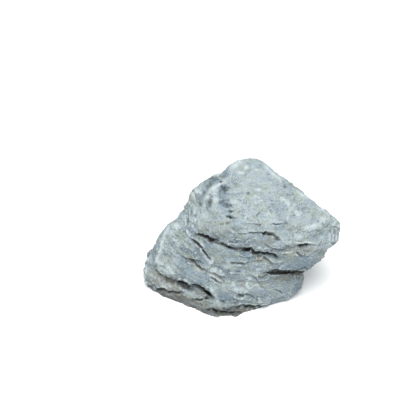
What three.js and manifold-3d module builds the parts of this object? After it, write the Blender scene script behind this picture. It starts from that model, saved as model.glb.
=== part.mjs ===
// Seiryu stone: one weathered block of layered grey limestone for an aquarium or a rock garden.
//
// The stone is a stack of broken beds that dip towards the right. A thick pale cap lies on top and overhangs
// the rest in a ledge. A broad tier with a lobe at its left end carries it, a second tier backs it, and a
// toe, a heel, a thin sole and a rear foot stick out at the ground. Crevices run in between the beds, and
// two shallow channels cross the underside. All of it is one grown-together piece, so it is one mesh.
//
// Frame: millimetres, +X to the right along the best side, +Y to the back, +Z up. The origin is on the
// ground, in the middle of the stone's footprint box.

import * as THREE from "three";
import { ConvexGeometry } from "three/addons/geometries/ConvexGeometry.js";
import { ImprovedNoise } from "three/addons/math/ImprovedNoise.js";
import { TessellateModifier } from "three/addons/modifiers/TessellateModifier.js";
import { mergeVertices } from "three/addons/utils/BufferGeometryUtils.js";
import Module from "manifold-3d";

const wasm = await Module();
wasm.setup();

// ---- Driving dimensions ----------------------------------------------------------------------------

const LENGTH = 161; // from the toe's end to the cap's tip
const DEPTH = 108; // from the sole's lip to the rear foot
const HEIGHT = 106; // from the ground to the cap's top

const LONGEST_EDGE = 9; // of a facet, before the crevices are cut
const UNDERCUT = -3; // where the lowest corners start, before the foot is cut flat
const HALVINGS = 12; // the most times a long edge is halved
const WELD = 1e-3; // corners closer together than this are one corner

const WEAR_PASSES = 2; // how often the edges are worn round
const WEAR = 0.5; // how far a corner goes to the middle of its neighbours in one pass
const REGROWTH = 1; // what the beds swell by, to make good what the wear takes off
const SWELL = { size: 22, height: 1.6 }; // broad hollows and bumps
const RIBS = { reach: 50, spacing: 8, height: 1.2 }; // the edges of thin beds
const BED_DIP = 0.12; // how much the beds rise for each millimetre to the back
const BED_BOW = 0.003; // how fast they climb away from their lowest line, which is at BED_LOW
const BED_LOW = 20;

// ---- Beds: each is the convex block between its corners --------------------------------------------

const cap = [
  // top and the long slope down to the tip
  [-3, 17, 105], [2, 18, 107], [13, 18, 107], [20, 16, 102], [32, 5, 94], [44, -3, 87.5], [55, -9, 82],
  [68, -14, 74], [75, -16, 69], [80, -17, 61], [80, -20, 56], [73, -24, 51], [66, -32, 49],
  // brow, where the broad face turns down to the lip
  [-30, -23, 66], [-15, -31, 66], [2, -36, 66], [15, -37, 67], [29, -38, 64], [46, -36, 60], [60, -31, 60],
  // lip, from the left end to the right
  [-39, -14, 58], [-26, -22, 55], [-14, -30, 55], [0, -36, 55.5], [6, -37, 55.5], [15, -39, 54],
  [29, -41, 51], [46, -41, 47],
  // left rim
  [-16, 10, 98], [-23, 6, 88], [-29, -1, 78], [-34, -6, 68],
  // back
  [-20, 34, 72], [10, 40, 80], [45, 30, 62], [70, 8, 52], [-36, 24, 58], [20, 44, 60], [62, 20, 44],
];
const shoulder = [
  [-13, 9, 97], [-23, 13, 91], [-32, 16, 85], [-42, 9, 73], [-44, 4, 63], [-47, 2, 60], [-53, 2, 57],
  [-39, -12, 57], [-34, -4, 66], [-29, 2, 76], [-22, 8, 86], [-30, 34, 68], [-42, 30, 50], [-10, 39, 72],
  [-4, 42, 58],
];
const lobe = [
  [-47, 2, 60], [-53, 2, 57], [-39, -15, 57], [-61, 0, 50], [-67, -5, 40], [-70, -9, 31],
  [-73, -14, 20], [-64, -23, 16.5], [-55, -29, 16.5], [-45, -33, 17.5], [-34, -38, 19],
  [-26, -26, 54], [-22, -35, 41], [-14, -42, 23], [-72, 10, 25], [-50, 34, 34], [-60, 30, 23], [-20, 30, 60],
];
const knee = [
  [-34, -38, 19], [-25, -42, 16], [-20, -46, 12], [-14, -42, 24], [-22, -35, 41], [-40, -20, 45],
  [-10, -46, 8], [-20, -10, 8], [-8, -40, 30],
];
const tier = [
  [-38, -17, 57], [-26, -26, 54], [-14, -31, 52], [0, -36, 51], [16, -39, 51], [29, -41, 48],
  [46, -41, 42], [62, -25, 32], [58.5, -28, 27], [52, -29, 31], [35, -36, 35], [23, -39, 37],
  [-22, -35, 41], [-13, -42, 22], [-1, -43, 18], [7, -41, 30], [64, 10, 40], [30, 38, 46], [-30, 36, 50],
  [65, -22, 46],
];
const bridge = [
  [36, -41, 57], [50, -40, 55], [66, -32, 52], [34, -42, 45], [48, -43, 41], [63, -33, 37], [67, -24, 46],
  [40, 0, 50], [60, 0, 44], [30, -20, 48],
];
const heel = [
  [11, -41, 30], [23, -38, 32], [35, -35, 31], [50, -31, 27], [52, -32, 21], [51.5, -32, 14],
  [49, -32, 7.5], [37, -24, UNDERCUT], [22, -37, UNDERCUT], [3, -48, UNDERCUT], [11, -45, 9], [-13, -42, 24],
  [-22, -45, 10], [-19, -46, 4], [48, 24, UNDERCUT], [54, 14, 30], [20, 46, UNDERCUT], [-30, 42, UNDERCUT],
];
const toe = [
  [-81, -8, 20], [-83, -10, 13], [-82, -15, 6], [-78, -19, UNDERCUT], [-70, -23, UNDERCUT],
  [-54, -35, UNDERCUT], [-40, -44.5, UNDERCUT], [-75, -18, 14], [-67, -25, 11], [-54, -30, 9],
  [-42, -38, 8], [-31, -44, 6], [-27, -50, UNDERCUT], [-76, 4, 20], [-72, 22, 10], [-60, 36, UNDERCUT],
  [-20, 40, UNDERCUT], [-69, 10, 26], [-36, -35, 13.5], [-29, -40, 11.5],
];
const sole = [
  [-42, -45.5, UNDERCUT], [-27, -57, UNDERCUT], [-10, -58, UNDERCUT], [-3, -57, UNDERCUT],
  [4, -51, UNDERCUT], [-32, -47, 6], [-20, -52, 6], [-6, -54, 5], [2, -47, 7], [-20, 0, 7], [10, -20, 5],
  [10, 0, UNDERCUT], [-30, 0, UNDERCUT],
];
const rearTier = [
  [-56, 22, 40], [-48, 36, 36], [-20, 45, 50], [10, 50, 53], [36, 44, 49], [57, 26, 44], [63, 12, 42],
  [-60, 22, 24], [-50, 38, 24], [-12, 48, 28], [30, 46, 25], [55, 24, 26], [-30, -10, 50], [40, -10, 44],
  [-40, -10, 22], [40, -10, 26],
];
const rearFoot = [
  [-69, 14, 20], [-62, 26, 19], [-50, 38, 16], [-22, 47, 20], [14, 44, 26], [40, 37, 26], [53, 22, 27],
  [-73, 16, UNDERCUT], [-62, 34, UNDERCUT], [-26, 52, UNDERCUT], [12, 50, UNDERCUT], [44, 40, UNDERCUT],
  [54, 22, UNDERCUT], [-40, -10, 20], [40, -10, 26], [-40, -10, UNDERCUT], [40, -10, UNDERCUT],
];

// fills the room that the beds leave inside, so that the crevices stay as deep as they are cut
const core = [
  [-62, -6, 14], [-50, -18, 10], [-34, -25, 8], [-12, -37, 8], [10, -34, 8],
  [-62, 2, 28], [-48, -14, 33], [-28, -26, 39], [-15, -36, 30], [-4, -34, 38], [12, -33, 36],
  [-62, 14, 12], [-40, 28, 12], [14, 30, 12], [-56, 20, 28], [-40, 28, 34], [14, 30, 39],
];

// ---- Crevices: each is a chain of wedges that points at the heart of the stone ---------------------

const HEART = new THREE.Vector3(0, 5, 35);
const WEDGES = 1.4; // per leg of a crevice's route
const TAPER = 0.04; // the part of its length at each end where a crevice has not begun

const crevices = [
  {
    // the dark crack under the cap's lip
    route: [[-39, -15, 58], [-31, -20, 57.5], [-23, -25, 55.5], [-14, -29.5, 54.5], [-5, -33, 52.5],
      [3, -35.5, 54.5], [12, -38, 53.5], [22, -39.5, 53], [32, -41, 48]],
    mouth: 3.4,
    depth: 12,
  },
  {
    // between the lobe and the toe
    route: [[-74, -15, 18], [-67, -23, 14.5], [-58, -29, 14.5], [-50, -33, 15], [-44, -36, 15.5],
      [-38, -38.5, 16]],
    mouth: 3.2,
    depth: 12,
  },
  {
    // its thin end, down to the sole
    route: [[-43, -36.5, 16], [-38, -38.5, 16.6], [-33, -40.4, 17], [-28, -42.6, 17], [-24, -44.6, 15]],
    mouth: 1.8,
    depth: 5,
  },
  {
    // between the tier and the heel
    route: [[17, -40, 36], [25, -39, 36], [32, -38, 35], [40, -37, 33], [48, -34, 30], [56, -30, 27]],
    mouth: 5,
    depth: 12,
  },
  {
    // behind, under the cap
    route: [[58, 28, 46], [44, 38, 51], [28, 45, 56], [10, 49, 58], [-8, 47, 56], [-24, 43, 52]],
    mouth: 5,
    depth: 4,
  },
  {
    // behind, round the left end and along the foot
    route: [[-73, 8, 22], [-67, 20, 20], [-56, 33, 20], [-42, 41, 20], [-24, 46, 22], [-6, 48, 24],
      [10, 48, 26]],
    mouth: 5,
    depth: 4,
  },
  {
    // round the right end, between the cap's tip and the heel
    route: [[66, 4, 38], [63, 13, 38], [57, 25, 38], [50, 32, 36]],
    mouth: 5,
    depth: 4,
  },
  {
    // across the underside, lengthways
    route: [[-78, -4, 0], [-50, -2, 0], [-24, 6, 0], [6, 2, 0], [30, 10, 0], [56, 8, 0]],
    mouth: 12,
    depth: 3,
  },
  {
    // across the underside, from the back to the middle
    route: [[-10, 54, 0], [-16, 38, 0], [-6, 22, 0], [-10, 6, 0]],
    mouth: 10,
    depth: 3,
  },
];

// ---- Solids ---------------------------------------------------------------------------------------

/** The solid inside a closed three.js geometry. */
function solidOf(geometry) {
  const bare = geometry.clone();
  bare.deleteAttribute("normal");
  bare.deleteAttribute("uv");
  const merged = mergeVertices(bare, WELD);
  return new wasm.Manifold(
    new wasm.Mesh({
      numProp: 3,
      vertProperties: merged.attributes.position.array,
      triVerts: new Uint32Array(merged.index.array),
    }),
  );
}

/** The three.js geometry of a solid's surface. */
function geometryOf(solid) {
  const { vertProperties, triVerts } = solid.getMesh();
  return new THREE.BufferGeometry()
    .setAttribute("position", new THREE.BufferAttribute(vertProperties, 3))
    .setIndex(new THREE.BufferAttribute(triVerts, 1));
}

const union = (solids) => solids.reduce((a, b) => a.add(b));
const point = (xyz) => new THREE.Vector3(...xyz);
const hull = (points) => solidOf(new ConvexGeometry(points));
const block = (corners) => hull(corners.map(point));

/** The wedge sections of a crevice: two corners at the mouth and one at the root, thin at both ends. */
function sections({ route, mouth, depth }) {
  const path = new THREE.CatmullRomCurve3(route.map(point));
  const steps = Math.round(WEDGES * (route.length - 1));
  return Array.from({ length: steps + 1 }, (_, i) => {
    const at = i / steps;
    const open = Math.sqrt(Math.sin(Math.PI * THREE.MathUtils.lerp(TAPER, 1 - TAPER, at)));
    const place = path.getPoint(at);
    const inward = HEART.clone().sub(place).normalize();
    const across = path.getTangent(at).cross(inward).normalize();
    const outside = place.clone().addScaledVector(inward, -depth / 2);
    return [
      outside.clone().addScaledVector(across, (mouth * open) / 2),
      outside.clone().addScaledVector(across, (-mouth * open) / 2),
      place.clone().addScaledVector(inward, depth * open),
    ];
  });
}

function crevice(spec) {
  const cuts = sections(spec);
  return union(cuts.slice(1).map((cut, i) => hull([...cuts[i], ...cut])));
}

// ---- Weathering -----------------------------------------------------------------------------------

/** Moves each vertex part of the way to the middle of its neighbours, which wears edges and corners round. */
function wearRound(geometry) {
  const { position } = geometry.attributes;
  const index = geometry.index.array;
  const sums = Array.from({ length: position.count }, () => new THREE.Vector3());
  const counts = new Uint16Array(position.count);
  const vertex = new THREE.Vector3();
  for (let i = 0; i < index.length; i += 3)
    for (const [a, b] of [[0, 1], [1, 2], [2, 0]]) {
      sums[index[i + a]].add(vertex.fromBufferAttribute(position, index[i + b]));
      counts[index[i + a]] += 1;
    }
  for (let i = 0; i < position.count; i++) {
    vertex.fromBufferAttribute(position, i).lerp(sums[i].divideScalar(counts[i]), WEAR);
    position.setXYZ(i, vertex.x, vertex.y, vertex.z);
  }
}

/** Roughens the surface along its normals: broad hollows and swells, and thin ribs along the beds. */
function roughen(geometry) {
  const noise = new ImprovedNoise();
  geometry.computeVertexNormals();
  const { position, normal } = geometry.attributes;
  const vertex = new THREE.Vector3();
  const out = new THREE.Vector3();
  for (let i = 0; i < position.count; i++) {
    vertex.fromBufferAttribute(position, i);
    out.fromBufferAttribute(normal, i);
    const { x, y, z } = vertex;
    const bed = z + BED_DIP * y - BED_BOW * (x - BED_LOW) ** 2;
    const swell = SWELL.height * noise.noise(x / SWELL.size, y / SWELL.size, z / SWELL.size);
    const rib = RIBS.height * noise.noise(x / RIBS.reach, y / RIBS.reach, bed / RIBS.spacing);
    vertex.addScaledVector(out, REGROWTH + swell + rib);
    position.setXYZ(i, vertex.x, vertex.y, vertex.z);
  }
}

function weathered(solid) {
  const fine = new TessellateModifier(LONGEST_EDGE, HALVINGS).modify(geometryOf(solid).toNonIndexed());
  const surface = mergeVertices(fine, WELD);
  for (let pass = 0; pass < WEAR_PASSES; pass++) wearRound(surface);
  roughen(surface);
  return solidOf(surface);
}

/** Makes a surface exactly as long, deep and high as asked, and stands it centred on the ground. */
function fit(geometry) {
  geometry.computeBoundingBox();
  const size = geometry.boundingBox.getSize(new THREE.Vector3());
  return geometry
    .center()
    .scale(LENGTH / size.x, DEPTH / size.y, HEIGHT / size.z)
    .translate(0, 0, HEIGHT / 2);
}

// ---- The stone ------------------------------------------------------------------------------------

const beds = [cap, shoulder, lobe, knee, tier, bridge, heel, toe, sole, rearTier, rearFoot, core].map(block);
const ground = new THREE.BoxGeometry(2 * LENGTH, 2 * DEPTH, HEIGHT).translate(0, 0, -HEIGHT / 2);
const stone = crevices
  .map(crevice)
  .reduce((solid, cut) => solid.subtract(cut), weathered(union(beds)))
  .subtract(solidOf(ground));

const group = new THREE.Group();
const mesh = new THREE.Mesh(
  fit(geometryOf(stone)),
  new THREE.MeshStandardMaterial({ color: 0x9aa3a6, roughness: 0.9, metalness: 0 }),
);
mesh.name = "stone";
group.add(mesh);
export default group;
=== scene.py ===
"""A seiryu stone: one weathered block of layered grey limestone, finished from its plain solid.

The solid gives the beds, the ledges and the deep crevices. Here its surface is remade as one even skin,
which is worn, chipped and ribbed along the beds. It is then worked with cracks, ledges, pits
and stains, and dressed in a procedural limestone. Lengths are millimetres until they reach a mesh, which
is in metres.
"""

import logging
import math
import random
from dataclasses import dataclass, field
from enum import Enum

import bmesh
import bpy
import numpy as np
from mathutils import Matrix, Vector, noise
from mathutils.bvhtree import BVHTree


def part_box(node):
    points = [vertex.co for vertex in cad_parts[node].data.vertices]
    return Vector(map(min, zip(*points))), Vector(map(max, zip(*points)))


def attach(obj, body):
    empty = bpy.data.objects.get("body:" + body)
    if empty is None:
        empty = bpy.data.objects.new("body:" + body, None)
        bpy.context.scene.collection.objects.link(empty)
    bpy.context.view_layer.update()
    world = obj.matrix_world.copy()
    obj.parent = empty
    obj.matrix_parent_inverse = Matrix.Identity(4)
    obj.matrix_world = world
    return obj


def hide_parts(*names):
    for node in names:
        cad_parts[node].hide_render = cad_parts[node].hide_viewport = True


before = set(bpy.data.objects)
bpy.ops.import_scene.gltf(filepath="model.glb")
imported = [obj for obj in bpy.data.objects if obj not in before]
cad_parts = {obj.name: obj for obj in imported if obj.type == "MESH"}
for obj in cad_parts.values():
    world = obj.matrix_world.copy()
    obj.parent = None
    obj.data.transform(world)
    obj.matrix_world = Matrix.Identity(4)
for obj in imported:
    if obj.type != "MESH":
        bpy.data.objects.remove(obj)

log = logging.getLogger("stone")
MM = 0.001
Array = np.ndarray
Point = tuple[float, float]
Range = tuple[float, float]
Size = tuple[float, float, float]
Colour = tuple[float, float, float]
Socket = bpy.types.NodeSocket


class Side(Enum):
    """Where the marks are drawn from: the azimuth and elevation, in degrees, of who looks at the stone."""

    FRONT = (0.0, 35.0)
    RIGHT = (90.0, 12.0)
    BACK = (180.0, 15.0)
    LEFT = (270.0, 12.0)
    TOP_BACK = (180.0, 60.0)


class Mark(Enum):
    """What a stroke leaves in the surface."""

    CRACK = "a groove with raised banks"
    LEDGE = "a step: proud on its left as drawn, cut back on its right"
    RIDGE = "a worn raised line"


class Tint(Enum):
    """The colours that gather in places. Each is a named value on the skin's points. Soil and slate are also
    painted shade in crack grooves and below ledges, and the chalk tint is also a painted highlight along some
    rims.
    """

    SOIL_AND_SHADE = "soil_and_shade"
    SLATE = "slate"
    TAN = "tan"
    BLUE = "blue"
    CHALK_AND_HIGHLIGHT = "chalk_and_highlight"


@dataclass(frozen=True)
class Stroke:
    """A line worked into the surface.

    Args:
        mark: what it leaves.
        width: how wide it is, in millimetres.
        depth: how deep it cuts, or how high a ridge stands, in millimetres.
        route: its points, in millimetres to the right and up from the middle of its side's sheet.
        tint: the colour that gathers in it.
        stain: how much of that colour, which in a crack's groove and below a ledge's edge is painted shade.
            Past 1, more of the width is full of it.
        lip: how high its banks or its upper edge stand, in millimetres.
        side: where it is drawn from.
    """

    mark: Mark
    width: float
    depth: float
    route: tuple[Point, ...]
    tint: Tint
    stain: float
    lip: float = 0.3
    side: Side = Side.FRONT


@dataclass(frozen=True)
class Dab:
    """An oval spot with ragged edges: a patch of staining, and a hollow where its depth is above zero. A few
    are painted shadows below ledges and on the sole.

    Args:
        at: its middle, in millimetres on its side's sheet.
        size: half its length and half its breadth, in millimetres.
        tint: its colour.
        stain: how much of that colour.
        depth: how deep the hollow is, in millimetres.
        turn: how far its length is turned to the left, in degrees.
        side: where it is drawn from.
    """

    at: Point
    size: Point
    tint: Tint
    stain: float
    depth: float = 0.0
    turn: float = 0.0
    side: Side = Side.FRONT


@dataclass(frozen=True)
class Swell:
    """A broad, soft rise of the front, or a dip where its rise is below zero."""

    at: Point
    radius: float
    rise: float


@dataclass(frozen=True)
class Patch:
    """A round patch of the front that has weathered smooth."""

    at: Point
    radius: float


CRACK, LEDGE, RIDGE = Mark
SOIL_AND_SHADE, SLATE, TAN, BLUE, CHALK_AND_HIGHLIGHT = Tint

STROKES: tuple[Stroke, ...] = (
    # the crack under the cap's lip, with painted shadow below it
    Stroke(LEDGE, 1.3, 1.0, ((-41.5, 6.8), (-39, 5.6), (-36, 4.2), (-33, 3.4)), SLATE, 0.9, 0.2),
    Stroke(LEDGE, 2.2, 0.8, ((-38, 4.2), (-36, 3.4), (-33.5, 2.8)), SOIL_AND_SHADE, 0.5, 0.0),
    Stroke(LEDGE, 2.8, 3.2, ((-35.5, 4.4), (-33, 4.1), (-31, 3.7), (-28.5, 3), (-26, 1.9), (-24, 0.6),
           (-22, -0.6)), SLATE, 2.4, 0.3),
    Stroke(LEDGE, 0.9, 0.0, ((-25, -0.8), (-22, -2.0), (-19, -3.4), (-16, -4.1), (-13, -4.8), (-10, -6.2),
           (-7, -7.6), (-4, -8.5), (0, -8.8)), SLATE, 1.2, 0.3),
    Stroke(LEDGE, 2.6, 2.8, ((0, -8.7), (3, -7.9), (5, -7.5), (7, -7.6), (9, -8.4), (10.5, -9.7),
           (12, -10.4), (16, -10.6), (20, -10.9), (24, -11.5), (26.5, -12.4), (28.5, -13.7), (31, -16)),
           SLATE, 2.2, 0.4),
    # the flake above it, with its scoop and painted shadow below it
    Stroke(LEDGE, 1.4, 1.8, ((-4, 4.6), (0, 4.2), (4, 4.4), (8, 5.4), (12, 5.2), (16, 4.9), (20, 5.5),
           (23, 4.9)), SLATE, 0.7, 0.4),
    Stroke(LEDGE, 2.4, 2.4, ((16, 5.1), (20, 5.6), (23, 5.1), (26, 4), (28.6, 2.2), (30.6, 0),
           (32.6, -2.8)), SLATE, 1.0, 0.5),
    Stroke(CRACK, 1.5, 1.0, ((22, 5), (25, 4.2), (27.6, 2.6), (29.4, 0.8), (31.2, -1.8)), SLATE, 0.8, 0.2),
    Stroke(LEDGE, 1.6, 1.2, ((19, -4), (22, -6.2), (25, -7.4), (29, -8), (34, -8.6), (38, -7.4)),
           SOIL_AND_SHADE, 0.6, 0.4),
    Stroke(CRACK, 1.5, 0.7, ((-8, 10), (-6, 7.5), (-3, 5.2), (0, 4.3)), SOIL_AND_SHADE, 0.4),
    Stroke(LEDGE, 1.2, 0.9, ((4, 12.6), (9, 12.4), (12, 11.6), (15, 11.4), (17.5, 12.4)), SOIL_AND_SHADE, 0.6, 0.4),
    Stroke(CRACK, 0.9, 0.9, ((25, 12.2), (28, 11.4), (30.5, 11.6), (34, 12.4)), SLATE, 0.8),
    # the tier: a long slanting crack, two creases and small ledges
    Stroke(CRACK, 1.3, 2.2, ((-41.5, -0.4), (-39.5, -1.4), (-37, -3.2), (-35, -4.6), (-33.6, -6.2)),
           SLATE, 0.9, 0.4),
    Stroke(CRACK, 1.2, 2.6, ((-35.4, -4.6), (-33.2, -6.8), (-32, -8.5), (-30, -11.5), (-27.6, -14.5),
           (-24.2, -18.5)), SLATE, 1.0, 0.5),
    Stroke(LEDGE, 1.6, 1.0, ((-41, -0.6), (-37, -2.6), (-34.4, -4.2), (-32.8, -6.6)), SOIL_AND_SHADE, 0.7, 0.2),
    Stroke(LEDGE, 2.1, 2.4, ((-47, -14.8), (-44.5, -15.6), (-42, -16.3), (-39, -17.0), (-37.4, -18.0),
           (-36, -20.2), (-34.4, -22.0), (-32, -23.8), (-28.6, -25.0)), SOIL_AND_SHADE, 1.3, 0.4),
    Stroke(CRACK, 1.3, 0.6, ((-43, -17.2), (-40, -18.0), (-37.8, -19.2), (-36.4, -21.4)), SLATE, 0.8, 0.0),
    Stroke(LEDGE, 1.9, 1.4, ((-24.5, -27.4), (-22, -28.2), (-19.6, -29.4), (-17, -31.0), (-14, -32.4)),
           SOIL_AND_SHADE, 0.6, 0.3),
    Stroke(CRACK, 1.1, 1.0, ((-26, -31.0), (-22.5, -32.6), (-19, -35), (-15, -37.4)), SLATE, 0.8, 0.5),
    Stroke(CRACK, 1.2, 1.3, ((-9, -19.8), (-4, -20.3), (0, -20.4), (4.5, -21.5)), SOIL_AND_SHADE, 0.9),
    Stroke(LEDGE, 1.4, 1.0, ((11, -13.6), (14, -13.8), (17.5, -13.8)), SOIL_AND_SHADE, 0.9, 0.3),
    Stroke(LEDGE, 1.8, 1.6, ((17.5, -14), (20, -15.8), (22.4, -17.8), (25.8, -20.8)), SOIL_AND_SHADE, 0.7, 0.5),
    Stroke(LEDGE, 1.4, 1.0, ((-2, -14), (4, -15), (9, -14.6)), BLUE, 0.6),
    # the crevice between the lobe and the toe, with a painted soft shadow below the lobe's edge
    Stroke(LEDGE, 1.6, 1.8, ((-72, -21.6), (-70, -24.6), (-68, -26.2), (-66.5, -28), (-64, -29.6),
           (-60, -31.4), (-57, -32.6), (-53, -34.2)), SLATE, 0.95, 0.3),
    Stroke(LEDGE, 3.0, 0.6, ((-68, -27), (-64, -30), (-60, -31.8), (-57, -33), (-52, -34.6)),
           SOIL_AND_SHADE, 0.8, 0.0),
    Stroke(LEDGE, 2.2, 2.2, ((-53.5, -34.6), (-50, -33.8), (-47.5, -34.2), (-45, -35.2), (-43, -36.5),
           (-40.6, -38)), SLATE, 1.8, 0.4),
    Stroke(LEDGE, 0.9, 0.4, ((-42, -37.8), (-39, -38.4), (-36, -38.8), (-33, -39.6), (-30, -41.0)),
           SLATE, 1.0, 0.5),
    Stroke(LEDGE, 0.9, 0.5, ((-31, -40.6), (-28, -41.8), (-25.4, -43.2), (-24, -45), (-23.4, -46.6)),
           SLATE, 0.9, 0.6),
    # the toe and the sole
    Stroke(CRACK, 1.2, 1.0, ((-77.5, -37.4), (-75, -38.8), (-71.5, -39.8)), SOIL_AND_SHADE, 0.9),
    Stroke(CRACK, 1.9, 2.2, ((-69, -42.6), (-67.3, -41.6), (-64.5, -41.2), (-62.5, -41.6),
           (-60.2, -42.8)), SLATE, 1.5, 0.4),
    Stroke(CRACK, 1.5, 1.8, ((-61.4, -42.4), (-58, -43.4), (-54, -43.9), (-50, -43.8), (-46, -43.6)),
           SLATE, 1.3, 0.3),
    Stroke(CRACK, 1.3, 1.8, ((-38, -49.8), (-34, -49.7), (-31.4, -49.3), (-29.6, -48.7)), SLATE, 1.2, 0.4),
    Stroke(CRACK, 1.6, 2.0, ((-30, -48.8), (-27.6, -48.1), (-25.8, -47.9)), SLATE, 1.5, 0.4),
    Stroke(CRACK, 1.2, 0.3, ((-51, -51.8), (-46, -52.6), (-42, -53.8), (-39, -55.6)), SOIL_AND_SHADE, 0.9),
    Stroke(CRACK, 1.5, 0.3, ((-41, -54.2), (-38.4, -55.2), (-36.4, -56.6)), SLATE, 0.8),
    Stroke(LEDGE, 1.5, 1.6, ((-30, -57), (-26, -56.9), (-22, -56.6), (-18, -57)), SLATE, 0.9),
    Stroke(LEDGE, 2.8, 3.0, ((-26, -56.0), (-21, -56.6), (-17, -58), (-13, -58.8), (-8, -59.4), (-3, -59),
           (1, -58.4)), SLATE, 1.2),
    Stroke(LEDGE, 3.0, 3.2, ((-17, -55.8), (-12, -56.2), (-8, -55.6), (-4, -54.5), (0, -53.4), (6, -53.6),
           (12, -54), (20, -54.6)), SLATE, 1.0),
    # the crack between the tier and the heel, with a painted shadow band below it
    Stroke(LEDGE, 1.2, 1.2, ((13, -30.8), (16.5, -31.4), (18, -30.4), (20, -29.4), (22, -28)), SLATE, 0.8),
    Stroke(LEDGE, 2.7, 2.6, ((20, -27.2), (24, -26.1), (28, -25.9), (34, -26), (40, -26.3)),
           SLATE, 2.0, 0.1),
    Stroke(LEDGE, 2.9, 2.2, ((37, -26.3), (42, -26.3), (46, -26.2), (49, -26.1), (53, -26.2)),
           SOIL_AND_SHADE, 1.5, 0.1),
    Stroke(CRACK, 1.3, 0.6, ((23, -28.9), (27, -28.6), (32, -28.4), (40, -28.7)), SLATE, 1.2, 0.0),
    Stroke(CRACK, 1.1, 1.0, ((44, -26.0), (48, -24.6), (51, -23.6), (54, -25), (58, -26.4)), SLATE, 0.8),
    Stroke(CRACK, 1.6, 2.0, ((-2.4, -46.0), (0.4, -46.8), (3.0, -47.2)), SLATE, 1.4),
    Stroke(LEDGE, 1.4, 0.9, ((1, -44.8), (5, -44.4), (9, -46.2), (12.5, -49.6)), SLATE, 0.6),
    Stroke(CRACK, 0.9, 0.7, ((25.5, -41), (28, -41.8), (31, -43), (34, -45.4)), SLATE, 0.6),
    Stroke(CRACK, 0.9, 0.6, ((14, -38.6), (20, -40), (25, -40.6)), BLUE, 0.7),
    # the cap's right end and the bridge under it
    Stroke(LEDGE, 2.3, 2.6, ((45.4, -5.4), (47.6, -4.5), (51, -4.2), (55.4, -4.5)), SLATE, 1.9, 0.4),
    Stroke(LEDGE, 1.0, 0.9, ((54, -5), (57, -4.8), (61, -5), (66, -5)), SLATE, 0.6),
    Stroke(CRACK, 1.4, 1.5, ((45, -10.6), (46.6, -13), (50, -15.2)), SLATE, 0.8),
    Stroke(CRACK, 0.8, 0.6, ((44, -2.2), (47, -2.6), (51, -2.6)), SOIL_AND_SHADE, 0.7),
    Stroke(LEDGE, 1.2, 0.8, ((36, -14.4), (44, -14.2), (52, -14.2), (60, -14.8)), BLUE, 0.6),
    Stroke(CRACK, 1.0, 0.8, ((14.5, 21), (13, 19.3), (12, 17.4)), SLATE, 0.6),
    Stroke(CRACK, 0.8, 0.6, ((71, 7), (72.4, 3), (72, -3)), SLATE, 0.5),
    Stroke(CRACK, 0.8, 0.6, ((74.3, 8), (75, 3), (74.4, -2)), SLATE, 0.5),
    # the valley beside the dome's left rim
    Stroke(CRACK, 3.6, 1.2, ((-10, 55), (-14, 51), (-18, 47.4), (-23, 44.6), (-28, 41), (-31, 36),
           (-32.6, 30)), BLUE, 1.0, 0.1),
    # worn, pale edges, partly painted highlights along the rims
    Stroke(RIDGE, 1.8, 0.6, ((1, 63.6), (-3, 61.4), (-6, 58.6), (-8.4, 55)), CHALK_AND_HIGHLIGHT, 1.0),
    Stroke(RIDGE, 1.7, 0.6, ((-14, 45.6), (-17, 43.8), (-20, 41.8), (-24, 39), (-27, 35.8), (-28.8, 31),
           (-29.6, 26), (-29, 22)), CHALK_AND_HIGHLIGHT, 0.9),
    Stroke(RIDGE, 1.5, 0.3, ((18, 60), (23, 55), (28.7, 50), (33.5, 46)), CHALK_AND_HIGHLIGHT, 0.6),
    Stroke(RIDGE, 1.2, 0.3, ((46, 38.4), (51, 34.4), (55, 31.4)), CHALK_AND_HIGHLIGHT, 0.9),
    Stroke(RIDGE, 1.2, 0.2, ((61, 25), (67, 22), (71, 19)), CHALK_AND_HIGHLIGHT, 0.7),
    Stroke(RIDGE, 1.6, 0.4, ((-57, 12), (-60, 7), (-63, 2), (-64.6, -3), (-65.4, -8), (-67, -13),
           (-69, -18), (-70.8, -21)), CHALK_AND_HIGHLIGHT, 0.8),
    Stroke(RIDGE, 1.2, 0.3, ((-47, -33.2), (-43.5, -35), (-40, -37.2)), CHALK_AND_HIGHLIGHT, 1.0),
    Stroke(RIDGE, 1.5, 0.3, ((-26, -40.6), (-22.8, -43), (-21.6, -46), (-20.4, -49), (-18, -51.4)),
           CHALK_AND_HIGHLIGHT, 0.9),
    Stroke(RIDGE, 1.3, 0.4, ((-27.4, -28.8), (-23, -30.8), (-19.5, -33), (-15.4, -35.4)), CHALK_AND_HIGHLIGHT, 0.7),
    Stroke(RIDGE, 1.2, 0.2, ((-38, -23.2), (-34, -25.4), (-28.6, -27.4)), CHALK_AND_HIGHLIGHT, 0.5),
    Stroke(RIDGE, 0.9, 0.2, ((43, -3), (47, -3.4), (53, -3.1), (60, -3.6)), CHALK_AND_HIGHLIGHT, 0.7),
    # veins of calcite
    Stroke(RIDGE, 1.6, 0.2, ((31.5, 33), (36, 30.8), (38, 28), (39.6, 24.3)), CHALK_AND_HIGHLIGHT, 1.0),
    Stroke(RIDGE, 1.1, 0.2, ((39.6, 25), (39.2, 21.5), (37.6, 17.4), (36.2, 14)), CHALK_AND_HIGHLIGHT, 0.9),
    Stroke(RIDGE, 0.9, 0.1, ((40, 25), (43, 26.4), (45, 29)), CHALK_AND_HIGHLIGHT, 0.6),
    Stroke(RIDGE, 1.2, 0.2, ((43.6, 23), (44, 20), (48, 18.8)), CHALK_AND_HIGHLIGHT, 1.0),
    Stroke(RIDGE, 0.8, 0.1, ((14, 30.7), (18, 30.7)), CHALK_AND_HIGHLIGHT, 0.9),
    Stroke(RIDGE, 0.8, 0.1, ((11, 36), (11.2, 30), (11, 26)), CHALK_AND_HIGHLIGHT, 0.5),
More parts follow.
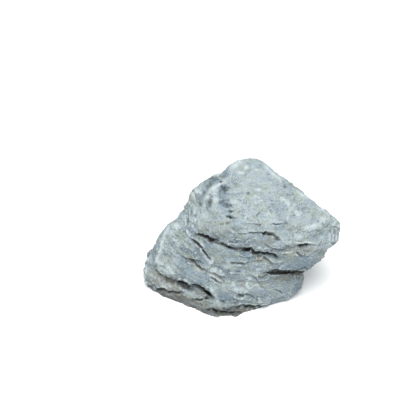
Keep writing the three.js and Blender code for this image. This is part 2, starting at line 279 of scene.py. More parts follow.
    Stroke(RIDGE, 0.9, 0.1, ((52, 8), (56, 9.6), (61, 11), (65, 12.5)), CHALK_AND_HIGHLIGHT, 0.9),
    Stroke(RIDGE, 0.8, 0.1, ((-25.8, -21), (-24, -15), (-23.4, -14)), CHALK_AND_HIGHLIGHT, 0.8),
    Stroke(RIDGE, 0.9, 0.1, ((-22, -27), (-21.6, -24)), CHALK_AND_HIGHLIGHT, 0.9),
    Stroke(RIDGE, 1.0, 0.1, ((-16.5, -27.5), (-17.8, -24.5)), CHALK_AND_HIGHLIGHT, 0.8),
    Stroke(RIDGE, 0.9, 0.1, ((-33, -0.6), (-31.6, -5), (-29.6, -8)), CHALK_AND_HIGHLIGHT, 0.8),
    Stroke(RIDGE, 1.4, 0.3, ((3.4, -35), (4.6, -38), (5.6, -41), (5.8, -43.4)), CHALK_AND_HIGHLIGHT, 1.0),
    Stroke(RIDGE, 1.0, 0.1, ((-29, -24), (-27, -21.5)), CHALK_AND_HIGHLIGHT, 0.6),
    # fine flutes down the left flank and the right end
    *(
        Stroke(RIDGE, 0.9, 0.2, ((u, top), (u - 0.6, (top + foot) / 2), (u + 0.5, foot)), CHALK_AND_HIGHLIGHT, 0.7)
        for u, top, foot in (
            (-42, 37, 27), (-37.6, 24, 12), (-34.6, 22, 10), (-45.4, 20, 12), (-39.6, 18, 7), (67, 17, 11),
            (70, 18, 13), (74, 16.5, 13), (71.4, 5, -4), (73.4, 4, -4), (76, 3, -3), (64, 14, 8),
        )
    ),
    *(
        Stroke(CRACK, 1.1, 0.4, ((u, top), (u + 0.5, (top + foot) / 2), (u - 0.4, foot)), BLUE, 0.9)
        for u, top, foot in ((-40.6, 25, 8), (-43.6, 24, 8), (-46.8, 20, 9), (-36, 21, 13))
    ),
)

DABS: tuple[Dab, ...] = (
    # broad washes: blue-grey on the lower faces and in the hollows
    Dab((-36, -30.5), (14, 4.6), BLUE, 0.8, 0, -22),
    Dab((-53, -18), (6, 7), BLUE, 0.5),
    Dab((-14, -45), (9, 7), BLUE, 0.6),
    Dab((26, -43), (22, 4.6), BLUE, 0.5),
    Dab((28, -40), (20, 8), CHALK_AND_HIGHLIGHT, 0.12),
    Dab((0, -40), (16, 10), CHALK_AND_HIGHLIGHT, 0.22),
    Dab((15, 31), (18, 14), CHALK_AND_HIGHLIGHT, 0.12),
    Dab((-56, -8), (10, 14), CHALK_AND_HIGHLIGHT, 0.08),
    Dab((-2, -22), (26, 7), SLATE, 0.1),
    Dab((0, 0), (30, 6), SLATE, 0.1),
    Dab((45, -40), (6, 6), BLUE, 0.9),
    Dab((45, -40), (5, 5), SLATE, 0.3),
    Dab((48, -20), (17, 6), BLUE, 1.0),
    Dab((0, -14), (18, 5), BLUE, 0.8, 0, -10),
    Dab((-33, -10), (11, 8), BLUE, 0.8, 0, -40),
    Dab((-30, -12), (12, 7), SLATE, 0.2, 0, -40),
    Dab((12, -2), (15, 5), BLUE, 0.7),
    Dab((12, -2), (14, 4.4), SLATE, 0.28),
    Dab((2, -17), (22, 5), SLATE, 0.16),
    Dab((-14.5, 34), (7, 10), BLUE, 0.8),
    Dab((-26, 45), (9, 5), BLUE, 0.8, 0, 35),
    Dab((-43, 16), (4, 9), BLUE, 0.5),
    Dab((34, 7), (9, 6), BLUE, 0.3),
    Dab((16, 36), (4, 4), BLUE, 0.4),
    Dab((4, 10), (4, 3), BLUE, 0.5),
    # broad washes: pale earth on the toe, the sole, the brow and the bridge; the dark soil and slate washes
    # on the sole are partly painted shade
    Dab((-62, -37), (15, 5), TAN, 0.8, 0, -14),
    Dab((-10, -59.5), (30, 5), SOIL_AND_SHADE, 0.8),
    Dab((-18, -58), (16, 3.4), SLATE, 0.52),
    Dab((-56, -48), (15, 4), SLATE, 0.4, 0, -18),
    Dab((-34, -55), (12, 3.4), SLATE, 0.3, 0, -22),
    Dab((-72, -38), (7, 4), SLATE, 0.25, 0, -40),
    Dab((-38, -13), (9, 6), SLATE, 0.14, 0, -40),
    Dab((-20, 10), (18, 7), SLATE, 0.1, 0, -14),
    Dab((-52, -48), (17, 4), SOIL_AND_SHADE, 0.75, 0, -16),
    Dab((-30, -54), (12, 4), SOIL_AND_SHADE, 0.4, 0, -20),
    Dab((42, -19), (18, 6), SLATE, 0.25),
    Dab((-26, -8), (12, 5), SLATE, 0.15, 0, -30),
    # a painted shadow band below the heel's ledge
    Dab((36, -31.5), (15, 2.6), SOIL_AND_SHADE, 0.4),
    Dab((52, -10), (15, 4), SOIL_AND_SHADE, 0.16),
    Dab((46, 6), (6, 9), TAN, 0.3),
    Dab((36, 22), (14, 12), SLATE, 0.12),
    Dab((33, 36), (9, 3), TAN, 0.3),
    Dab((-70, -30), (5, 8), TAN, 0.5, 0, -50),
    Dab((-56, -46), (16, 3.4), TAN, 0.8, 0, -16),
    Dab((-36, -53), (14, 5), TAN, 0.8, 0, -24),
    Dab((-10, -60), (28, 4.4), TAN, 0.9),
    Dab((-33, -44), (6, 3), TAN, 0.6, 0, -20),
    Dab((50, -10), (18, 4), TAN, 0.7, 0, 8),
    Dab((-20, 8), (16, 7), TAN, 0.35, 0, -14),
    Dab((23, -0.5), (6, 3), TAN, 0.7),
    Dab((11, 10.5), (9, 2), TAN, 0.5),
    Dab((-36.5, 33), (5, 5), TAN, 0.3),
    Dab((40, 6), (6, 8), TAN, 0.3),
    Dab((-64, -17), (5, 5), TAN, 0.25),
    Dab((15, -17), (6, 3), TAN, 0.6),
    # dark hollows by the dome's left rim
    Dab((-22, 48), (3.4, 1.8), SLATE, 0.8, 0.4),
    Dab((-16.6, 45.8), (1.5, 1.2), SLATE, 0.9, 0.3),
    Dab((-15, 51.5), (3.2, 2.0), SLATE, 0.5, 0, 40),
    Dab((-24, 44), (6, 1.6), SLATE, 0.5, 0.3, 30),
    Dab((-33.3, 27.4), (1.4, 1.4), SLATE, 0.8, 0.4),
    Dab((-38, 37.3), (1.4, 0.9), SOIL_AND_SHADE, 0.8, 0.3),
    Dab((-37.5, 18.5), (1.4, 1.2), SLATE, 0.8, 0.4),
    Dab((-40, 12), (0.8, 0.9), SLATE, 0.7, 0.2),
    Dab((-26.8, 28), (2.8, 4.2), SLATE, 0.7, 0.5),
    # stains and pits of the dome
    Dab((-14.2, 40.4), (4.8, 3.0), SLATE, 0.9, 0.6),
    Dab((-16, 35.6), (4.4, 3.6), SLATE, 0.4),
    Dab((-16.4, 30), (3.2, 2.0), SLATE, 0.7, 0.4, 20),
    Dab((-12.6, 27), (4.2, 2.2), SLATE, 0.75, 0.4, -10),
    Dab((-11, 31), (1.4, 1.4), SLATE, 0.6, 0.3),
    Dab((5.4, 36.7), (1.4, 1.2), SLATE, 0.8, 0.5),
    Dab((-8.6, 22), (2.4, 1.0), SLATE, 1.0, 0.5),
    Dab((-9.4, 17.4), (3.8, 1.4), SLATE, 1.0, 1.0, -12),
    Dab((-5.4, 16.4), (1.8, 0.7), SLATE, 0.8, 0.3),
    Dab((-15.8, 11.8), (2.0, 1.2), SOIL_AND_SHADE, 0.6, 0.5),
    Dab((-11.4, 12.4), (1.3, 1.0), SOIL_AND_SHADE, 0.5, 0.3),
    Dab((-27, 13), (3.2, 0.9), SOIL_AND_SHADE, 0.4, 0.3, -10),
    Dab((-4, 7.4), (3.4, 2.6), SOIL_AND_SHADE, 0.4, 0.2),
    Dab((42.6, 19), (1.2, 1.0), SLATE, 0.8, 0.3),
    Dab((36, 12.4), (1.4, 0.8), SLATE, 0.7, 0.2),
    Dab((16.8, 22.8), (1.4, 0.9), SLATE, 0.5, 0.2),
    Dab((23.8, 21.3), (0.9, 1.3), SLATE, 0.5, 0.2),
    Dab((62, 6.4), (2.8, 0.8), SLATE, 0.8, 0.3),
    Dab((28.6, -0.6), (2.6, 1.2), SLATE, 0.8, 0.5, -20),
    Dab((41.7, 2.5), (0.8, 1.9), SLATE, 0.4, 0.2),
    Dab((37.5, -6.3), (2.0, 0.9), SLATE, 0.7, 0.3, -20),
    Dab((52.5, -10), (3.2, 0.9), SLATE, 0.8, 0.4, -10),
    Dab((35, -13), (2.0, 0.8), SOIL_AND_SHADE, 0.9, 0.4),
    # pale patches
    Dab((-22, 37.6), (3.0, 2.6), CHALK_AND_HIGHLIGHT, 0.7),
    Dab((-21, 31), (2.4, 4.0), CHALK_AND_HIGHLIGHT, 0.7),
    Dab((-6, 30), (3.0, 3.4), CHALK_AND_HIGHLIGHT, 0.5),
    Dab((-6, 59), (2.6, 2.0), CHALK_AND_HIGHLIGHT, 0.9),
    Dab((4, 57), (1.6, 1.6), CHALK_AND_HIGHLIGHT, 0.7),
    Dab((12, 55.5), (1.6, 0.9), CHALK_AND_HIGHLIGHT, 0.8),
    Dab((0, 53), (3.0, 0.9), CHALK_AND_HIGHLIGHT, 0.7),
    Dab((14, 39.8), (2.6, 1.2), CHALK_AND_HIGHLIGHT, 0.8),
    Dab((46.5, 21), (3.0, 1.8), CHALK_AND_HIGHLIGHT, 0.9),
    Dab((43, 26), (2.4, 2.4), CHALK_AND_HIGHLIGHT, 0.5),
    Dab((57, 9.4), (6.5, 2.4), CHALK_AND_HIGHLIGHT, 0.7, 0, 14),
    Dab((66, 15), (3.0, 3.0), CHALK_AND_HIGHLIGHT, 0.5),
    Dab((46, 1.5), (3.4, 2.4), CHALK_AND_HIGHLIGHT, 0.5),
    Dab((24, 20), (5, 2.6), CHALK_AND_HIGHLIGHT, 0.35),
    Dab((29, 14), (5, 1.6), CHALK_AND_HIGHLIGHT, 0.5),
    Dab((-19, 51.4), (4.4, 1.2), CHALK_AND_HIGHLIGHT, 0.8, 0, 25),
    Dab((-33, 16), (4, 7), CHALK_AND_HIGHLIGHT, 0.45),
    Dab((-53, 10), (3.4, 2.8), CHALK_AND_HIGHLIGHT, 0.9),
    Dab((-56, 5), (3.4, 2.0), CHALK_AND_HIGHLIGHT, 0.5),
    Dab((-44, 6), (1.2, 1.2), CHALK_AND_HIGHLIGHT, 0.9),
    Dab((-59, -25), (6, 4), CHALK_AND_HIGHLIGHT, 0.6, 0, -30),
    Dab((-66, -20), (3.4, 5), CHALK_AND_HIGHLIGHT, 0.5, 0, 20),
    Dab((-54, -20), (3.0, 3.4), CHALK_AND_HIGHLIGHT, 0.5),
    Dab((-24, -18), (1.8, 3.0), CHALK_AND_HIGHLIGHT, 0.6),
    Dab((-12, -23), (4.0, 2.2), CHALK_AND_HIGHLIGHT, 0.5),
    Dab((-22, -25.4), (2.6, 1.6), CHALK_AND_HIGHLIGHT, 0.8),
    Dab((14, -25), (2.4, 0.9), CHALK_AND_HIGHLIGHT, 0.9),
    Dab((12, -28), (4.4, 2.0), CHALK_AND_HIGHLIGHT, 0.4),
    Dab((-44, 0), (2.0, 1.6), CHALK_AND_HIGHLIGHT, 0.4),
    # the white crust with its brown heart
    Dab((-6.6, -37.2), (1.9, 2.2), CHALK_AND_HIGHLIGHT, 0.9),
    Dab((-5, -41.4), (2.6, 2.6), CHALK_AND_HIGHLIGHT, 0.7),
    Dab((0, -41.6), (3.0, 1.8), CHALK_AND_HIGHLIGHT, 0.8),
    Dab((3.6, -42.6), (2.4, 1.8), CHALK_AND_HIGHLIGHT, 0.9),
    Dab((6.4, -32.6), (1.6, 1.3), CHALK_AND_HIGHLIGHT, 0.8),
    Dab((0.4, -37), (2.6, 2.8), TAN, 0.9, 0.3),
    Dab((-1, -34), (3.6, 0.8), SOIL_AND_SHADE, 0.6, 0.2),
    Dab((-3.4, -36), (1.0, 1.6), TAN, 0.7),
    # marks of the lower beds
    Dab((-15.5, -51), (2.8, 1.1), SLATE, 0.9, 0.3, -25),
    Dab((7, -47), (5, 2.0), SLATE, 0.5, 0.3),
    Dab((-48, -27.5), (2.2, 2.0), BLUE, 0.6, 0.2),
    Dab((-41.6, -40.8), (4.8, 2.2), SLATE, 0.9, 0.8, -14),
    Dab((-34, -43), (6, 2.4), SOIL_AND_SHADE, 0.45, 0, -25),
    Dab((-43, -54.6), (6, 2), SOIL_AND_SHADE, 0.85, 0, -20),
    Dab((-42, -41.6), (6, 2.6), BLUE, 0.9, 0, -15),
    Dab((-46.6, -38.6), (4.4, 2.4), SOIL_AND_SHADE, 1.0, 1.2, -14),
    Dab((-47.4, -38), (1.6, 1.2), SLATE, 1.0, 0.8),
    Dab((-32.8, -53.4), (1.8, 1.0), SLATE, 0.9, 0.5, -30),
    Dab((-39.6, -49.4), (2.0, 0.8), SLATE, 0.8, 0.4),
    Dab((-55, -40.4), (4, 0.9), SOIL_AND_SHADE, 0.5, 0.2, -10),
    Dab((-66, -34), (2.6, 1.2), TAN, 0.7, 0.2, -30),
    Dab((-50, -47.6), (5, 1.2), BLUE, 0.6, 0.2, -18),
    Dab((-26, -52), (4, 1.2), SOIL_AND_SHADE, 0.5, 0.3, -12),
    Dab((-50.4, -37.8), (1.3, 0.9), TAN, 0.9, 0, 20),
    # a painted soft shadow below the lobe's edge, with a brown wash
    Dab((-58, -34), (7, 2.4), SOIL_AND_SHADE, 1.0, 0.6, -22),
    Dab((-57, -33.6), (7, 2.6), TAN, 1.0, 0, -22),
    Dab((-57, -43.4), (12, 2.4), SOIL_AND_SHADE, 0.6, 0, -9),
    Dab((-33, -43), (3.6, 1.3), TAN, 0.6, 0, -12),
    Dab((-66, -43.6), (5, 1.3), SOIL_AND_SHADE, 0.5, 0, -14),
    Dab((-39, -21.8), (4.6, 0.9), TAN, 1.0, 0, -46),
    Dab((-34.6, -25.8), (3.4, 0.8), TAN, 1.0, 0, -22),
    Dab((-34, -26.6), (3.4, 0.6), CHALK_AND_HIGHLIGHT, 0.5, 0, -20),
    Dab((-42.4, -15.4), (3.2, 0.7), TAN, 0.9, 0, -6),
    Dab((-29.6, -27.2), (2.6, 0.8), TAN, 0.8, 0, -18),
    Dab((-24.6, -28.8), (2.6, 1.2), TAN, 0.9, 0, -20),
    Dab((-18.6, -33.4), (5.6, 1.4), TAN, 1.0, 0, -34),
    Dab((-18.2, -34.6), (4.6, 0.5), CHALK_AND_HIGHLIGHT, 0.5, 0, -36),
    Dab((-18, -30.8), (3.6, 1.0), TAN, 0.8, 0, -30),
    Dab((14, -16), (3.6, 2.0), TAN, 0.8),
    Dab((14.6, -17.4), (3.6, 1.6), SOIL_AND_SHADE, 0.3),
    Dab((21.4, -18.6), (2.8, 1.0), SOIL_AND_SHADE, 0.4, 0, -38),
    # a painted shadow below the heel's ledge
    Dab((46, -29.6), (6, 1.3), SOIL_AND_SHADE, 0.9, 0.4, 2),
    Dab((36.5, -29.6), (2.2, 0.9), SLATE, 1.0, 0.5),
    Dab((36, -32), (5, 2.2), TAN, 0.6),
    Dab((-28, -14.6), (1.6, 2.4), TAN, 0.6),
    Dab((-62.5, -13), (1.0, 0.8), SLATE, 0.7, 0.2),
)

SWELLS: tuple[Swell, ...] = (
    # the dome's flat top, its left flank and the dent in its right shoulder
    Swell((0, 59), 9, 2.4),
    Swell((12, 59), 8, 1.8),
    Swell((38, 43), 9, -2.4),
    Swell((-23, 46), 7, 2.6),
    Swell((-37, 35), 7, 3.4),
    Swell((74, 14), 5, 1.5),
    # the bulge between the lobe and the sole, the toe's belly, the sole's front and the lobe's and toe's left
    Swell((-30, -46), 4, 1.5),
    Swell((-62, -38), 7, 1.0),
    Swell((-6, -59.5), 6, 2.4),
    Swell((-70, -7), 4, 1.8),
    Swell((-75, -17), 2.6, 1.4),
    Swell((-76, -20), 4, 1.8),
    Swell((-77, -31), 6, 2.2),
)

PATCHES: tuple[Patch, ...] = (
    Patch((61, 2), 11),
    Patch((64, -13), 8),
    Patch((48, -19), 13),
    Patch((50, -9), 10),
    Patch((30, -36), 14),
    Patch((-14, -44), 9),
    Patch((-38, -31), 9),
    Patch((0, 48), 18),
    Patch((-72, -14), 7),
    Patch((-44, -53), 6),
)


@dataclass(frozen=True)
class Sheet:
    """The drawing sheet of a side: it passes through the stone's middle, square to the look.

    Args:
        side: the side.
        middle: the stone's middle, in millimetres.
        aim: what the look from the front is centred on, in millimetres.
        away: how far off the eye is, in millimetres.
    """

    side: Side
    middle: Vector = Vector((0.8, -16.3, 52.0))
    aim: Vector = Vector((-32.896, 1.587, 77.545))
    away: float = 900.0

    @property
    def forward(self) -> Vector:
        """Which way the look goes.

        Returns:
            Its direction, of length 1.
        """
        azimuth, elevation = (math.radians(angle) for angle in self.side.value)
        level = math.cos(elevation)
        return Vector((-math.sin(azimuth) * level, math.cos(azimuth) * level, -math.sin(elevation)))

    @property
    def right(self) -> Vector:
        """To the right on the sheet."""
        return self.forward.cross(Vector((0, 0, 1))).normalized()

    @property
    def up(self) -> Vector:
        """Up on the sheet."""
        return self.right.cross(self.forward)

    @property
    def eye(self) -> Vector:
        """Where the sheet is looked at from."""
        target = self.aim if self.side is Side.FRONT else self.middle
        return target - self.forward * self.away

    def ray(self, at: Point) -> Vector:
        """The direction from the eye through a point of the sheet."""
        return (self.middle + self.right * at[0] + self.up * at[1] - self.eye).normalized()

    def flatten(self, points: Array) -> Array:
        """Where points in space show on the sheet.

        Args:
            points: rows of x, y and z.

        Returns:
            Rows of how far right and how far up.
        """
        eye, forward = np.array(self.eye), np.array(self.forward)
        rays = points - eye
        scale = (np.array(self.middle) - eye) @ forward / (rays @ forward)
        offsets = eye + rays * scale[:, None] - np.array(self.middle)
        return offsets @ np.array((self.right, self.up)).T


FRONT_SHEET = Sheet(Side.FRONT)


def smoothstep(values: Array, low: float, high: float) -> Array:
    """A soft ramp from 0 at low to 1 at high."""
    t = np.clip((values - low) / (high - low), 0, 1)
    return t * t * (3 - 2 * t)


def bell(distance: Array, reach: float) -> Array:
    """A soft bell: 1 at no distance, and about a third at its reach."""
    return np.exp(-((distance / reach) ** 2))


@dataclass(frozen=True)
class Relief:
    """Bumps or chips, laid along the beds.

    Args:
        height: how high they are, in millimetres.
        size: how large one is, in millimetres, for each direction.
        seed: moves the pattern.
        octaves: how many finer layers are added.
        level: the share of its height that is left on level faces.
    """

    height: float
    size: Size
    seed: float
    octaves: int = 1
    level: float = 1.0


@dataclass
class Skin:
    """The stone's surface as arrays, with the passes that work it.

    Args:
        mesh: an even, closed mesh, in metres.
        tilt: how much the beds rise towards the back.
        bow: how fast they fall away from their crest, for each millimetre.
        crest: where along x their crest is, in millimetres.
        finer: how much finer each added layer of a noise is.
        fading: how fast those layers fade.
        scatter: spreads the chips' seeds, so that no two neighbours slope alike.
    """

    mesh: bpy.types.Mesh
    tilt: float = 0.12
    bow: float = 0.003
    crest: float = 20.0
    finer: float = 2.1
    fading: float = 0.8
    scatter: float = 17.0
    points: Array = field(init=False)
    normals: Array = field(init=False)
    edges: Array = field(init=False)
    valence: Array = field(init=False)
    tints: dict[Tint, Array] = field(init=False)

    def __post_init__(self) -> None:
        """Reads the mesh."""
        count = len(self.mesh.vertices)
        flat = np.empty(count * 3)
        self.mesh.vertices.foreach_get("co", flat)
        self.points = flat.reshape(-1, 3) / MM
        ends = np.empty(len(self.mesh.edges) * 2, int)
        self.mesh.edges.foreach_get("vertices", ends)
        self.edges = ends.reshape(-1, 2)
        self.valence = np.bincount(ends, minlength=count).astype(float)
        self.tints = {tint: np.zeros(count) for tint in Tint}
        self.refresh()

    def refresh(self) -> None:
        """Writes the points to the mesh and reads the normals again."""
        self.mesh.vertices.foreach_set("co", (self.points * MM).ravel())
        self.mesh.update()
        flat = np.empty(len(self.points) * 3)
        self.mesh.vertex_normals.foreach_get("vector", flat)
        self.normals = flat.reshape(-1, 3)

    def around(self, values: Array) -> Array:
        """The mean over each point's neighbours.

        Args:
            values: one number or one row for each point.

        Returns:
            The means, in the same shape.
        """
        rows = values.reshape(len(values), -1)
        a, b = self.edges.T
        sums = [
            np.bincount(a, column[b], len(rows)) + np.bincount(b, column[a], len(rows)) for column in rows.T
        ]
        return (np.stack(sums, axis=1) / self.valence[:, None]).reshape(values.shape)

    def even(self, values: Array, passes: int) -> Array:
        """Evens values out over the surface.

        Args:
            values: one number or one row for each point.
            passes: how often each is drawn halfway to the mean of its neighbours.

        Returns:
            The values, evened out.
        """
        for _ in range(passes):
            values = 0.5 * (values + self.around(values))
        return values

    def wear(self, passes: int, keep: float, speed: float = 0.5, power: float = 3) -> None:
        """Rounds the facets off and leaves the sharp lips.

        Args:
            passes: how often each point moves towards the middle of its neighbours.
            keep: the bend, in millimetres at a point, that is worn at half speed.
            speed: how much of the way a point moves where there is hardly a bend.
            power: how abruptly wear stops at a sharper bend.
        """
        for _ in range(passes):
            offset = self.around(self.points) - self.points
            bend = self.even(np.linalg.norm(offset, axis=1), 2)
            self.points += offset * (speed / (1 + (bend / keep) ** power))[:, None]
        self.refresh()

    def push(self, amount: Array, along: Array | None = None) -> None:
        """Moves each point out by its amount, along its normal or the rows given."""
        self.points += (self.normals if along is None else along) * amount[:, None]
        self.refresh()

    def beds(self) -> Array:
        """How far up the stack of beds each point is, in millimetres."""
        x, y, z = self.points.T
        return z + self.tilt * y - self.bow * (self.crest - x) ** 2

    def bedded(self) -> Array:
        """The points with their height measured up the stack of beds."""
        return np.column_stack((self.points[:, :2], self.beds()))

    def noise(self, size: Size, seed: float, octaves: int = 1) -> Array:
        """Smooth noise from about -1 to 1, laid along the beds.

        Args:
            size: how large a lump is, in millimetres, for each direction.
            seed: moves the pattern.
            octaves: how many finer layers are added.

        Returns:
            One number for each point.
        """
        where = (self.bedded() / np.asarray(size) + seed).tolist()
        if octaves == 1:
            return np.array([noise.noise(place) for place in where])
        return np.array([noise.fractal(place, self.fading, self.finer, octaves) for place in where])

    def bumps(self, relief: Relief) -> Array:
        """The relief as smooth bumps, from about -1 to 1 before its height."""
        return self.noise(relief.size, relief.seed, relief.octaves)

    def chips(self, relief: Relief, warp: float = 0.22, warp_size: float = 0.6) -> Array:
        """The relief as flat chips that meet in small steps, from about -1 to 1 before its height.

        Args:
            relief: the relief.
            warp: how far the chips' outlines are bent, as a share of a chip's least size.
            warp_size: how large those bends are, as a share of the same.

        Returns:
            One number for each point.
        """
        least = min(relief.size)
        bends = [self.noise((warp_size * least,) * 3, relief.seed + shift) for shift in (3, 7, 11)]
        warped = self.bedded() + warp * least * np.column_stack(bends)
        heights = np.empty(len(warped))
        for i, place in enumerate((warped / np.asarray(relief.size) + relief.seed).tolist()):
            seeds = noise.voronoi(place)[1]
            slope = noise.cell_vector(seeds[0] * self.scatter) - Vector((0.5, 0.5, 0.5))
            heights[i] = 2 * slope.dot(Vector(place) - seeds[0]) + 4 * slope.x * slope.y
        return np.clip(heights, -1, 1)

    def tree(self) -> BVHTree:
        """The present shape, to cast rays at."""
        return BVHTree.FromPolygons(self.points.tolist(), [tuple(p.vertices) for p in self.mesh.polygons])

    def lifted(self, height: float = 0.3) -> Array:
        """The points, lifted off the surface so that a ray from one doesn't hit its own face."""
        return self.points + height * self.normals

    def paint(self, tint: Tint, where: Array, amount: Array) -> None:
        """Lays a tint over some points. The most that any mark gives is kept."""
        self.tints[tint][where] = np.maximum(self.tints[tint][where], amount)


@dataclass(frozen=True)
class Section:
    """The cross-section of a stroke. All but the three last are shares of its width.

    Args:
        groove: half the breadth of a crack's groove, or of a ridge.
        bank_at: how far out a crack's banks stand.
        bank: half the breadth of a bank.
        lip: how far a ledge's lip reaches.
        cut: how far a ledge is cut back.
        shade: how far a ledge's painted shadow reaches.
        cut_power: how abruptly the cut ends.
        edge: from below to above a ledge's edge, in millimetres.
        shade_edge: from below to above the edge of its painted shadow, in millimetres.
    """

    groove: float = 0.6
    bank_at: float = 1.5
    bank: float = 0.8
    lip: float = 1.5
    cut: float = 1.3
    shade: float = 0.9
    cut_power: float = 1.5
    edge: Range = (-0.25, 0.25)
    shade_edge: Range = (-0.2, 0.5)

    def shape(self, stroke: Stroke, distance: Array, rise: Array) -> tuple[Array, Array]:
        """What a stroke does beside its line.

        Args:
            stroke: the stroke.
            distance: how far each point is from its line, in millimetres.
            rise: how far each point is to the left of its line, in millimetres.

        Returns:
            How far each point moves out, in millimetres, and how full its tint is, which in a crack's groove
            and below a ledge's edge is painted shade.
        """
        width = stroke.width
        core = bell(distance, self.groove * width)
        if stroke.mark is Mark.CRACK:
            bank = bell(distance - self.bank_at * width, self.bank * width)
            # a crack's groove is filled with its tint: painted shade
            return stroke.lip * bank - stroke.depth * core, core
        if stroke.mark is Mark.RIDGE:
            return stroke.depth * core, bell(distance, width)
        proud = stroke.lip * np.exp(-distance / (self.lip * width))
        sunk = -stroke.depth * np.exp(-((distance / (self.cut * width)) ** self.cut_power))
        over = smoothstep(rise, *self.edge)
        # below a ledge's edge its tint is a painted shadow under the lip
        stained = bell(distance, self.shade * width) * (1 - smoothstep(rise, *self.shade_edge))
        return over * proud + (1 - over) * sunk, stained


@dataclass
class Chisel:
    """Works strokes, dabs and swells into a skin.

    Args:
        skin: the skin, before its fine grain.
        section: the cross-section of the strokes.
        step: how far apart the points of a line are, in millimetres.
        waver: how far a line strays, as a share of its width.
        wave: how long its waves are, in millimetres.
        reach: how far a stroke can be felt, in widths.
        slack: how far in front of or behind its line it still works, past its reach, in millimetres.
        clear: how far a mark of another side keeps from what shows from the front, in millimetres.
        stroke_glance: how far round the stone a stroke works: the most that the cosine between a
            point's normal and the look may be.
        dab_glance: the same for a dab.
        ends: where along a stroke its ends are cut off, from 0 to 1.
        fullness: how soon a stroke is at full strength.
        bluntness: how blunt its ends are, from 1 down.
        unsteady: how much its strength varies.
        beat: how far apart its strong places are, in millimetres.
        dab_reach: how far a dab can be felt, in its sizes.
        dab_margin: how much further, in millimetres.
        rag: how ragged a dab's edge is.
        rim: from the inside to the outside of a dab's edge, in its sizes.
    """

    skin: Skin
    section: Section = Section()
    step: float = 0.8
    waver: float = 0.45
    wave: float = 2.2
    reach: float = 4.0
    slack: float = 4.0
    clear: float = 9.0
    stroke_glance: float = 0.35
    dab_glance: float = 0.2
    ends: Range = (0.02, 0.98)
    fullness: float = 2.2
    bluntness: float = 0.6
    unsteady: float = 0.7
    beat: float = 3.1
    dab_reach: float = 2.2
    dab_margin: float = 2.0
    rag: float = 0.5
    rim: Range = (0.45, 1.35)
    tree: BVHTree = field(init=False)
    shift: Array = field(init=False)
    smooth_normals: Array = field(init=False)

    def __post_init__(self) -> None:
        """Takes the shape that marks are dropped on."""
        self.tree = self.skin.tree()
        self.shift = np.zeros(len(self.skin.points))
        normals = self.skin.even(self.skin.normals, 4)
        self.smooth_normals = normals / np.linalg.norm(normals, axis=1)[:, None]

    def land(self, sheet: Sheet, at: Point) -> Vector | None:
        """Drops a point of a sheet on the stone. From the other sides, none lands on what shows in front.

        Args:
            sheet: the sheet.
            at: the point.

        Returns:
            Where it lands, if it does.
        """
        spot = self.tree.ray_cast(sheet.eye, sheet.ray(at))[0]
        if spot is None or sheet.side is Side.FRONT:
            return spot
        eye = FRONT_SHEET.eye
        seen = self.tree.ray_cast(eye, spot - eye)[0]
        return None if seen is None or (seen - spot).length < self.clear else spot

    def trace(self, stroke: Stroke, sheet: Sheet) -> tuple[Array, Array]:
        """The stroke's line, with a hand's unsteadiness.

        Args:
            stroke: the stroke.
            sheet: its side's sheet.

        Returns:
            Rows of how far right and up on the sheet, and rows of x, y and z on the stone.
        """
        drawn, landed = [], []
        stray = self.waver * stroke.width
        for (u0, v0), (u1, v1) in zip(stroke.route, stroke.route[1:]):
            steps = max(2, round(math.hypot(u1 - u0, v1 - v0) / self.step))
            for i in range(steps):
                u, v = u0 + (u1 - u0) * i / steps, v0 + (v1 - v0) * i / steps
                u += stray * noise.noise((u / self.wave, v / self.wave, 5.0))
                v += stray * noise.noise((u / self.wave, v / self.wave, 9.0))
                spot = self.land(sheet, (u, v))
                if spot is not None:
                    drawn.append((u, v))
                    landed.append(spot)
        return np.array(drawn), np.array(landed)

    def facing(self, sheet: Sheet, most: float) -> Array:
        """Which points face the sheet: their normals and its look make at most that cosine."""
        return self.skin.normals @ np.array(sheet.forward) < most

    def cut(self, stroke: Stroke) -> None:
        """Works one stroke in.

        Args:
            stroke: the stroke.
        """
        sheet = Sheet(stroke.side)
        drawn, landed = self.trace(stroke, sheet)
        if len(drawn) < 3:
            return
        skin, reach = self.skin, self.reach * stroke.width
        low, high = landed.min(0) - 2 * reach, landed.max(0) + 2 * reach
        boxed = np.all((skin.points > low) & (skin.points < high), axis=1)
        near = np.flatnonzero(self.facing(sheet, self.stroke_glance) & boxed)
        forward = np.array(sheet.forward)
        flat, away = sheet.flatten(skin.points[near]), skin.points[near] @ forward
        best = np.full(len(near), reach)
        gap = np.full(len(near), math.inf)
        rise, progress = np.zeros(len(near)), np.zeros(len(near))
        for i, (start, leg) in enumerate(zip(drawn, np.diff(drawn, axis=0))):
            length = max(math.hypot(*leg), 1e-6)
            offset = flat - start
            along = np.clip(offset @ leg / length**2, 0, 1)
            offset -= along[:, None] * leg
            distance = np.hypot(*offset.T)
            closer = distance < best
            best[closer] = distance[closer]
            rise[closer] = (offset @ (-leg[1], leg[0]) / length)[closer]
            progress[closer] = (i + along[closer]) / (len(drawn) - 1)
            gap[closer] = np.abs(away - landed[i] @ forward)[closer]
        within = gap < reach + self.slack
        if not within.any():
            return
        near = near[within]
        shift, stained = self.section.shape(stroke, best[within], rise[within])
        strength = self.taper(progress[within]) * self.unevenness(skin.points[near])
        self.shift[near] += shift * strength
        # lays the tint, which in a crack's groove and below a ledge's edge is painted shade
        skin.paint(stroke.tint, near, np.clip(stroke.stain * stained * strength, 0, 1))

    def taper(self, progress: Array) -> Array:
        """How strong a stroke is along its line: full in the middle, and thin at the ends."""
        swollen = np.sin(np.pi * np.clip(progress, *self.ends)) * self.fullness
        return np.clip(swollen, 0, 1) ** self.bluntness

    def unevenness(self, points: Array, seed: float = 40) -> Array:
        """How much stronger or weaker a stroke is from place to place."""
        return np.array([1 + self.unsteady * noise.noise(p) for p in (points / self.beat + seed).tolist()])

